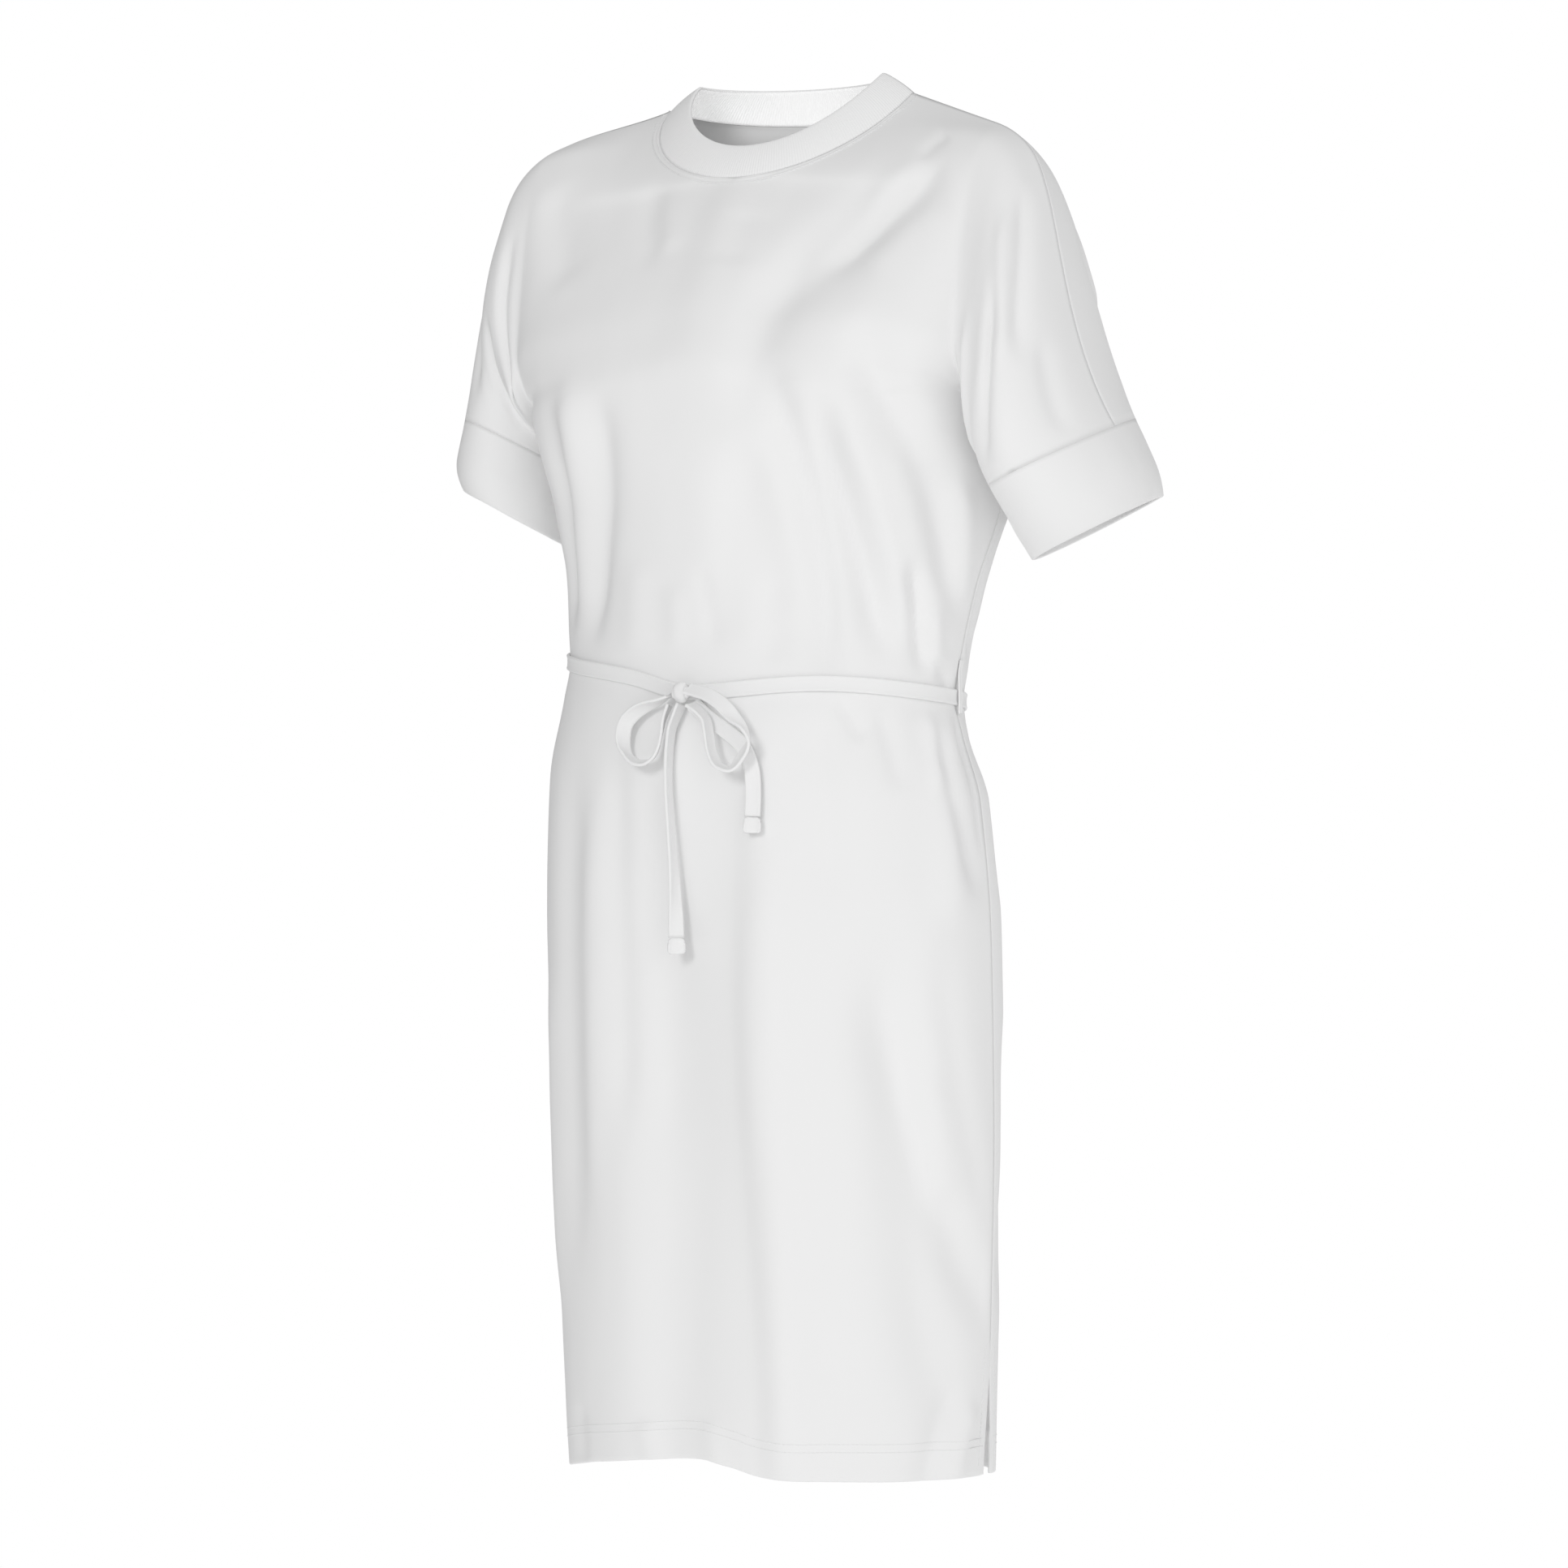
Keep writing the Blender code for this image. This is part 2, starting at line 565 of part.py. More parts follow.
def girth(row):
    """How far each point of a row is from the centre line, along the cloth."""
    steps = np.linalg.norm(np.diff(row[::-1], axis=0), axis=1)
    return (abs(row[-1][0]) + np.concatenate([[0], np.cumsum(steps)]))[::-1]


def fold_strength(level):
    """Folds of the body die away towards the armhole fold, which the sleeve shares."""
    if level >= UNDERARM_LEVEL:
        return np.ones(len(BODY_SHARES))
    return ease(np.asarray(BODY_SHARES) / 0.25)


def sleeve_sheet(panel, cuff, forward):
    """Half a sleeve, row by row round the armhole from the over-arm seam to the underarm seam."""
    shares = np.linspace(0, 1, SLEEVE_STEPS + 1)
    sleeve = []
    for level in ARM_LEVELS[panel]:
        run = sleeve_run(panel, cuff, level, shares)
        run[:, 2] += row_rise(run) * (1 - ease(shares))
        run[:, 2] += shoulder_lift(cuff, run, level) * (1 - ease(shares))
        if level in (0, UNDERARM_LEVEL):
            run[:, 1] += forward * SEAM_HALF_GAP
        run[-1] -= sleeve_axes(cuff)[0] * BAND_GAP / 2
        sleeve.append(run)
    return sleeve


def face_outwards(bm, outward):
    """Turns every face of a sheet the same way, so that its broad middle looks outward."""
    bmesh.ops.recalc_face_normals(bm, faces=bm.faces[:])
    total = Vector()
    for face in bm.faces:
        total += face.normal * face.calc_area()
    if total.dot(Vector(outward)) < 0:
        bmesh.ops.reverse_faces(bm, faces=bm.faces[:])
    bm.normal_update()


def push_out(panel, flat):
    """Moves the points of the body out or in by its folds, fading them at the neck and seams."""
    for vert, (across, drop, strength) in flat.items():
        at_neck = ease((drop - neck_drop_at(panel, across)) / 0.05)
        depth = float(fold_depth(panel, across, drop) * strength * at_neck)
        on_seam = vert.is_boundary and drop < LENGTH - SLIT_LENGTH
        if not on_seam:
            vert.co += vert.normal * depth


def neck_drop_at(panel, across):
    share = min(abs(across) / NECK_HALF_WIDTH, 1)
    drop = NECK_FRONT_DROP if panel == "front" else NECK_BACK_DROP
    return drop * math.sqrt(1 - share**2)


def thicken(bm, wall_of, seam_verts=()):
    """Gives the sheet its wall, inwards. At a seam the wall is square to the seam's gap."""
    outer = bm.verts[:]
    sheet = bm.faces[:]
    rim = [edge for edge in bm.edges if edge.is_boundary]
    inward = []
    for vert in outer:
        normal = vert.normal.copy()
        if vert in seam_verts:
            normal.y = 0
            normal.normalize()
        inward.append(vert.co - normal * wall_of(vert.co))
    twin = {vert: bm.verts.new(place) for vert, place in zip(outer, inward)}
    for face in sheet:
        bm.faces.new([twin[vert] for vert in reversed(face.verts)])
    for edge in rim:
        loop = edge.link_loops[0]
        first, second = loop.vert, loop.link_loop_next.vert
        bm.faces.new([second, first, twin[first], twin[second]])


def skirt_wall(place):
    """The wall of a panel, which is doubled by the turned hem."""
    return CLOTH + (HEM_EXTRA if place.z < -(LENGTH - HEM_DEPTH) - 0.001 else 0)


def slit_parting(drop):
    """How far each panel draws back from its side slit."""
    return ease((drop - (LENGTH - SLIT_LENGTH)) / SLIT_LENGTH) * SLIT_PARTING / 2


def build_panel(panel, collection):
    """Makes a panel and returns its points along the two edges of the belt."""
    bm, seam_verts, body = panel_sheet(panel)
    belt_rows = belt_places(panel, body)
    thicken(bm, skirt_wall, seam_verts)
    add_object(panel + "_panel", bm, collection)
    return belt_rows


def belt_places(panel, body):
    """The panel's own points along the two edges of the belt, each with its way out."""
    first = panel_levels(panel).index(drop_level(BELT_DROP - BELT_WIDTH / 2))
    rows = []
    for index in (first, first + 1):
        right, left = (
            [(vert.co.copy(), vert.normal.copy()) for vert in body[side][index]]
            for side in ("right", "left")
        )
        rows.append(right + left[-2::-1])
    return rows


def build_belt(front_rows, back_rows, collection):
    """The waist run of the belt: a flat strip all round, on the cloth's own points moved out."""
    off = BELT_GAP + BELT_WALL
    grid = []
    for front, back in zip(front_rows, back_rows):
        middle = [co + normal * off for co, normal in front[1:-1]]
        behind = [co + normal * off for co, normal in back[-2:0:-1]]
        left = (front[-1][0] + back[-1][0]) / 2 + Vector((off, 0, 0))
        right = (front[0][0] + back[0][0]) / 2 - Vector((off, 0, 0))
        grid.append([right, *middle, left, *behind, right])
    bm = bmesh.new()
    add_grid(bm, grid, {})
    face_out_of_ring(bm)
    thicken(bm, lambda place: BELT_WALL)
    add_object("belt_waist", bm, collection)


def face_out_of_ring(bm):
    """Turns the faces of a closed band away from its middle."""
    bmesh.ops.recalc_face_normals(bm, faces=bm.faces[:])
    middle = sum((vert.co for vert in bm.verts), Vector()) / len(bm.verts)
    outwards = sum(
        face.normal.dot(face.calc_center_median() - middle) * face.calc_area() for face in bm.faces
    )
    if outwards < 0:
        bmesh.ops.reverse_faces(bm, faces=bm.faces[:])
    bm.normal_update()


def build_cuff(cuff, collection):
    start = BAND_GAP / 2 / CUFF_DEPTH
    around = [("front", level) for level in ARM_LEVELS["front"]]
    around += [("back", level) for level in ARM_LEVELS["back"][-2::-1]]
    grid = [
        [cuff_point(cuff, panel, level, share) for panel, level in around]
        for share in np.linspace(start, 1, CUFF_ROWS)
    ]
    bm = bmesh.new()
    add_grid(bm, grid, {})
    face_out_of_ring(bm)
    thicken(bm, lambda place: CUFF_WALL)
    add_object("cuff_" + cuff.name, bm, collection)


def band_top(panel, share):
    """The folded top edge of the neck band, from the shoulder (0) to the centre line (1)."""
    angle = share * math.pi / 2
    front = panel == "front"
    reach = -BAND_FRONT_REACH if front else BAND_BACK_REACH
    drop = BAND_FRONT_DROP if front else BAND_BACK_DROP
    return np.array(
        [
            BAND_HALF_WIDTH * math.cos(angle),
            reach * math.sin(angle),
            BAND_RISE - drop * math.sin(angle) ** BAND_DIP_POWER,
        ]
    )


def build_neck_band(collection):
    places = []
    for panel, side in (("front", 1), ("front", -1), ("back", -1), ("back", 1)):
        shares = [level / NECK_LEVEL[panel] for level in ARM_LEVELS[panel]]
        shares = [share for share in shares if share <= 1]
        if (panel, side) in (("front", -1), ("back", 1)):
            shares = shares[::-1]
        places += [(panel, side, share) for share in shares[bool(places):]]
    grid = []
    for height in np.linspace(0, 1, BAND_ROWS):
        row = []
        for panel, side, share in places:
            foot = neckline(panel, share) * (side, 1, 1)
            top = band_top(panel, share) * (side, 1, 1)
            way = unit(top - foot)
            foot = foot + way * BAND_GAP
            bulge = unit(np.array([foot[0], foot[1], 0.06])) * BAND_BULGE * 4 * height * (1 - height)
            row.append(foot + (top - foot) * height + bulge)
        grid.append(row)
    bm = bmesh.new()
    add_grid(bm, grid, {})
    face_out_of_ring(bm)
    thicken(bm, lambda place: NECK_BAND_WALL)
    add_object("neck_band", bm, collection)


def front_place(across, drop):
    """A point of the front's outer face, folds and all, given from straight in front."""
    shares = np.linspace(0, 1, 61)
    row = body_row("front", drop_level(drop), shares)
    depth = fold_depth("front", math.copysign(1, across) * girth(row), np.full(61, drop))
    places = row[:, 1] - depth
    return float(np.interp(abs(across), row[::-1, 0], places[::-1]))


def smooth_run(points, steps):
    """Points evenly along a smooth curve through the given ones."""
    points = np.asarray(points, float)
    gaps = np.linalg.norm(np.diff(points, axis=0), axis=1)
    knots = np.concatenate([[0], np.cumsum(gaps)])
    slopes = np.gradient(points, knots, axis=0)
    at = np.linspace(0, knots[-1], steps + 1)
    cell = np.clip(np.searchsorted(knots, at, side="right") - 1, 0, len(gaps) - 1)
    step = gaps[cell][:, None]
    t = ((at - knots[cell]) / gaps[cell])[:, None]
    return (
        points[cell] * (1 + 2 * t) * (1 - t) ** 2
        + slopes[cell] * step * t * (1 - t) ** 2
        + points[cell + 1] * t**2 * (3 - 2 * t)
        - slopes[cell + 1] * step * t**2 * (1 - t)
    )


def build_strip(name, points, faces, width, wall, steps, collection):
    """A flat strip of cloth along a curve, with its broad side looking the given ways."""
    run = smooth_run(points, steps)
    along = unit(np.gradient(run, axis=0))
    faces = np.asarray(faces, float)
    at = np.linspace(0, len(faces) - 1, steps + 1)
    looks = np.stack([np.interp(at, range(len(faces)), faces[:, i]) for i in range(3)], axis=1)
    sideways = unit(np.cross(along, looks))
    looks = unit(np.cross(sideways, along))
    outer = run + looks * wall / 2
    bm = bmesh.new()
    add_grid(bm, [outer - sideways * width / 2, outer + sideways * width / 2], {})
    middle = len(run) // 2
    face_outwards(bm, looks[middle])
    bm.faces.ensure_lookup_table()
    if bm.faces[middle].normal.dot(Vector(looks[middle])) < 0:
        bmesh.ops.reverse_faces(bm, faces=bm.faces[:])
        bm.normal_update()
    thicken(bm, lambda place: wall)
    add_object(name, bm, collection)


def bow_point(across, off, rise):
    """A place given from the knot: across, off the front's cloth, and up from the belt's middle."""
    drop = BELT_DROP - BELT_LINE[BELT_FRONT].rise - rise
    return Vector((across, front_place(across, drop) - off, -drop))


def build_lump(name, place, half_sizes, collection):
    """A small knot of cloth: a rounded lump."""
    bm = bmesh.new()
    bmesh.ops.create_uvsphere(bm, u_segments=12, v_segments=8, radius=1)
    bmesh.ops.scale(bm, vec=half_sizes, verts=bm.verts)
    bmesh.ops.translate(bm, vec=place, verts=bm.verts)
    add_object(name, bm, collection)


def build_bow(collection):
    knot_off = BELT_GAP * 2 + BELT_WALL + KNOT_HALF_DEPTH
    build_lump(
        "bow_knot",
        bow_point(0, knot_off, 0),
        (KNOT_HALF_WIDTH, KNOT_HALF_DEPTH, KNOT_HALF_HEIGHT),
        collection,
    )
    for strip in BOW_STRIPS:
        points = [bow_point(*point) for point in strip.points]
        build_strip(strip.name, points, strip.faces, BELT_WIDTH, BELT_WALL, STRIP_STEPS, collection)
        if strip.name.startswith("belt_tail"):
            across, off, rise = strip.points[-1]
            place = bow_point(across, off, rise - TAIL_KNOT_GAP - TAIL_KNOT_HALF_LENGTH)
            sizes = (TAIL_KNOT_HALF_WIDTH, TAIL_KNOT_HALF_DEPTH, TAIL_KNOT_HALF_LENGTH)
            build_lump(strip.name.replace("tail", "tip"), place, sizes, collection)


def build_belt_loops(collection):
    """The two narrow loops on the side seams, each standing out over the belt."""
    for cuff in CUFFS:
        belt_rise = float(read(BELT_LINE, "rise", 90 * cuff.side))
        points = []
        for point in BELT_LOOP_RUN:
            drop = BELT_DROP - point.rise
            place = side_point("front", drop_level(drop)) * (cuff.side, 1, 1)
            points.append(place + (cuff.side * point.off, 0, belt_rise))
        faces = [(cuff.side, 0, 0)] * 2
        build_strip(
            "belt_loop_" + cuff.name, points, faces, BELT_LOOP_WIDTH, BELT_LOOP_WALL, LOOP_STEPS, collection
        )


def main():
    for old in list(bpy.data.objects):
        bpy.data.objects.remove(old, do_unlink=True)
    collection = bpy.data.collections.new("belted_tshirt_dress")
    bpy.context.scene.collection.children.link(collection)
    front_rows = build_panel("front", collection)
    back_rows = build_panel("back", collection)
    build_neck_band(collection)
    for cuff in CUFFS:
        build_cuff(cuff, collection)
    build_belt(front_rows, back_rows, collection)
    build_belt_loops(collection)
    build_bow(collection)


main()
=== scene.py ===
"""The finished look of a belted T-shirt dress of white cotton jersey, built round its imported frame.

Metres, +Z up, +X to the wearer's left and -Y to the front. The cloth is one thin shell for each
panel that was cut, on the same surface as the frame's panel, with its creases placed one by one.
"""

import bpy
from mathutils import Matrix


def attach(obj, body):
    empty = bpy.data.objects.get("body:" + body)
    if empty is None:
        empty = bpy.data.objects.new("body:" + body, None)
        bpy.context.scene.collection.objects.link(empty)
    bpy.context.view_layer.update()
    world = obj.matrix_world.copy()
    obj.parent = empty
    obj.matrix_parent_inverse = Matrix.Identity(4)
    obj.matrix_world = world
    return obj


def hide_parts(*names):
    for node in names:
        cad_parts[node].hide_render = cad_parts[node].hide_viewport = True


bl_info = {
    "name": "Belted T-shirt Dress",
    "version": (1, 0, 0),
    "blender": (4, 5, 0),
    "location": "View3D > Sidebar > Dress",
    "description": "Builds the cloth, belt, seams and studio of a belted jersey dress",
    "category": "Object",
}

import functools
import math
from collections import namedtuple

import bpy
import numpy as np
from bpy.props import FloatProperty, FloatVectorProperty, PointerProperty
from bpy.types import Operator, Panel, PropertyGroup
from mathutils import Vector, noise

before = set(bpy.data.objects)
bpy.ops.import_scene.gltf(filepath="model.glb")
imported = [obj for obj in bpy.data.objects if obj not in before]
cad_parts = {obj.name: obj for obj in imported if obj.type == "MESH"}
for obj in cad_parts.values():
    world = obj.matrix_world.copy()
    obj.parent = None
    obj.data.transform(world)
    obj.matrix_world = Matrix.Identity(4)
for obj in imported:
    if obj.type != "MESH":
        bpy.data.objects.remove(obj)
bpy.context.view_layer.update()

# The dress's own sizes, as its solids have them
LENGTH = 0.975
HEM_DEPTH = 0.027
SLIT_LENGTH = 0.090
SLIT_PARTING = 0.010
SLIT_REACH = 5  # the parting dies away over one part in this many of a row
NECK_HALF_WIDTH = 0.100
NECK_FRONT_REACH = 0.078
NECK_FRONT_DROP = 0.062
NECK_BACK_REACH = 0.062
NECK_BACK_DROP = 0.010
BAND_HALF_WIDTH = 0.0765
BAND_FRONT_REACH = 0.064
BAND_BACK_REACH = 0.052
BAND_RISE = 0.0155
BAND_FRONT_DROP = 0.054
BAND_BACK_DROP = 0.001
BAND_DIP_POWER = 1.2
NECK_DIP_POWER = 1.1
BAND_BULGE = 0.0010
UNDERARM_DROP = 0.238
CHEST_DROP = 0.300
CHEST_RISE = 0.035
CUFF_DEPTH = 0.058
BELT_DROP = 0.425
BELT_WIDTH = 0.011
BELT_WALL = 0.0024
BELT_GAP = 0.0003
BELT_LOOP_WIDTH = 0.0045
BELT_LOOP_WALL = 0.0012

# Levels number the rows of a panel: 0 shoulder seam, 1 underarm, 2 chest ring, 3 hem
UNDERARM_LEVEL = 1.0
CHEST_LEVEL = 2.0
SQUARE_END_LEVEL = 2.1
HEM_LEVEL = 3.0
NECK_LEVEL = {"front": 0.42, "back": 0.30}
STRAIGHT_PULL = 0.34
LEAST_TURN = 0.05
UNDERARM_SIDE_PULL = 0.80
UNDERARM_CENTRE_PULL = 0.70
SIDE_PULL = {"front": 0.57, "back": 0.52}
CENTRE_PULL = {"front": 0.60, "back": 0.56}

Ring = namedtuple("Ring", "drop half_width front back side")
RINGS = [
    Ring(0.062, 0.186, -0.078, 0.075, 0.004),
    Ring(0.110, 0.186, -0.109, 0.092, 0.004),
    Ring(0.160, 0.186, -0.134, 0.103, 0.004),
    Ring(0.205, 0.186, -0.146, 0.104, 0.004),
    Ring(0.238, 0.183, -0.146, 0.100, 0.004),
    Ring(0.300, 0.173, -0.143, 0.089, -0.007),
    Ring(0.350, 0.160, -0.142, 0.074, -0.018),
    Ring(0.405, 0.152, -0.145, 0.063, -0.028),
    Ring(0.425, 0.150, -0.145, 0.058, -0.030),
    Ring(0.450, 0.155, -0.149, 0.063, -0.029),
    Ring(0.500, 0.168, -0.154, 0.078, -0.026),
    Ring(0.600, 0.173, -0.155, 0.088, -0.019),
    Ring(0.720, 0.172, -0.150, 0.090, -0.013),
    Ring(0.860, 0.167, -0.144, 0.089, -0.008),
    Ring(0.985, 0.162, -0.138, 0.088, -0.005),
]
BELT_RING = 8

Armhole = namedtuple("Armhole", "level drop out front back turn_front turn_back")
ARMHOLE = [
    Armhole(0.00, 0.0310, 0.1850, -0.018, -0.018, 0, 0),
    Armhole(0.12, 0.0390, 0.1845, -0.043, 0.006, 8, 8),
    Armhole(0.30, 0.0670, 0.1820, -0.063, 0.032, 20, 18),
    Armhole(0.55, 0.1270, 0.1795, -0.079, 0.060, 36, 34),
    Armhole(0.78, 0.1880, 0.1785, -0.086, 0.070, 54, 52),
    Armhole(0.90, 0.2180, 0.1805, -0.062, 0.048, 72, 70),
    Armhole(1.00, 0.2380, 0.1830, 0.004, 0.004, 90, 90),
]

SleeveStart = namedtuple("SleeveStart", "level out forward down run_in")
SLEEVE_START = [
    SleeveStart(0.00, 0.047, 0.000, 0.018, 0.100),
    SleeveStart(0.25, 0.041, 0.008, 0.028, 0.085),
    SleeveStart(0.55, 0.034, 0.016, 0.040, 0.060),
    SleeveStart(0.80, 0.016, 0.014, 0.030, 0.030),
    SleeveStart(1.00, 0.005, 0.000, 0.008, 0.010),
]

Cuff = namedtuple(
    "Cuff", "name side out back drop lift seam_out seam_back half_out half_deep opens_back curl"
)
CUFFS = [
    Cuff("left", 1, 0.2405, 0.016, 0.312, 0.000, 0.2235, -0.0085, 0.046, 0.082, 0.2145, 0.0045),
    Cuff("right", -1, 0.231, -0.002, 0.299, 0.006, 0.2265, 0.0104, 0.044, 0.074, -0.2145, 0.0100),
]
SHOULDER_OUT = 0.185
CUFF_HALF_OUT = 0.050
CUFF_HALF_DEEP = 0.066
CUFF_CURL_FROM = 0.50  # where along its depth a cuff starts to curl in
CUFF_OPENS_OUT = 0.3715
CUFF_OPENS_DOWN = 0.903

# Degrees run from the centre front towards the wearer's left
HeightPoint = namedtuple("HeightPoint", "degrees rise")
BELT_LINE = [
    HeightPoint(-180, -0.006),
    HeightPoint(-135, 0.010),
    HeightPoint(-90, 0.025),
    HeightPoint(-45, 0.0155),
    HeightPoint(-22, 0.0085),
    HeightPoint(0, -0.0025),
    HeightPoint(45, 0.0035),
    HeightPoint(90, -0.0055),
    HeightPoint(135, -0.015),
    HeightPoint(180, -0.006),
]
BELT_LINE_REACH = 0.100
BELT_FRONT = 5
HEM_LINE = [
    HeightPoint(-180, -0.003),
    HeightPoint(-90, -0.009),
    HeightPoint(-45, 0.005),
    HeightPoint(-15, 0.012),
    HeightPoint(3, 0.014),
    HeightPoint(15, 0.010),
    HeightPoint(28, 0.004),
    HeightPoint(55, 0.002),
    HeightPoint(90, 0.000),
    HeightPoint(180, -0.003),
]
HEM_LINE_REACH = 0.150

# The largest folds, which the solids have too
Fold = namedtuple("Fold", "panel across drop to_across to_drop bend low high depth")
FOLDS = [
    Fold("front", 0.165, 0.060, 0.030, 0.170, 0.010, 0.022, 0.026, -0.0050),
    Fold("front", 0.040, 0.240, 0.085, 0.420, -0.004, 0.022, 0.020, -0.0060),
    Fold("front", 0.085, 0.210, 0.150, 0.420, -0.006, 0.020, 0.020, -0.0060),
    Fold("front", 0.150, 0.240, 0.195, 0.400, 0.000, 0.018, 0.018, 0.0050),
    Fold("front", -0.135, 0.210, -0.120, 0.400, 0.000, 0.020, 0.020, -0.0050),
    Fold("front", -0.020, 0.460, -0.018, 1.040, 0.006, 0.026, 0.034, -0.0120),
    Fold("front", 0.062, 0.470, 0.066, 1.040, 0.004, 0.048, 0.026, 0.0100),
    Fold("front", 0.150, 0.560, 0.190, 0.960, -0.010, 0.026, 0.024, -0.0080),
    Fold("front", 0.195, 0.430, 0.205, 0.600, 0.000, 0.016, 0.020, 0.0060),
    Fold("back", -0.060, 0.210, -0.040, 0.430, 0.004, 0.026, 0.024, -0.0060),
    Fold("back", 0.070, 0.230, 0.050, 0.430, 0.004, 0.024, 0.028, -0.0060),
    Fold("back", -0.075, 0.470, -0.085, 1.040, 0.004, 0.032, 0.040, -0.0090),
    Fold("back", 0.030, 0.500, 0.040, 1.040, -0.006, 0.040, 0.034, 0.0080),
    Fold("back", 0.120, 0.480, 0.135, 1.040, 0.004, 0.030, 0.032, -0.0080),
]
FOLD_FADE = 0.22  # share of a fold's length over which each end dies away

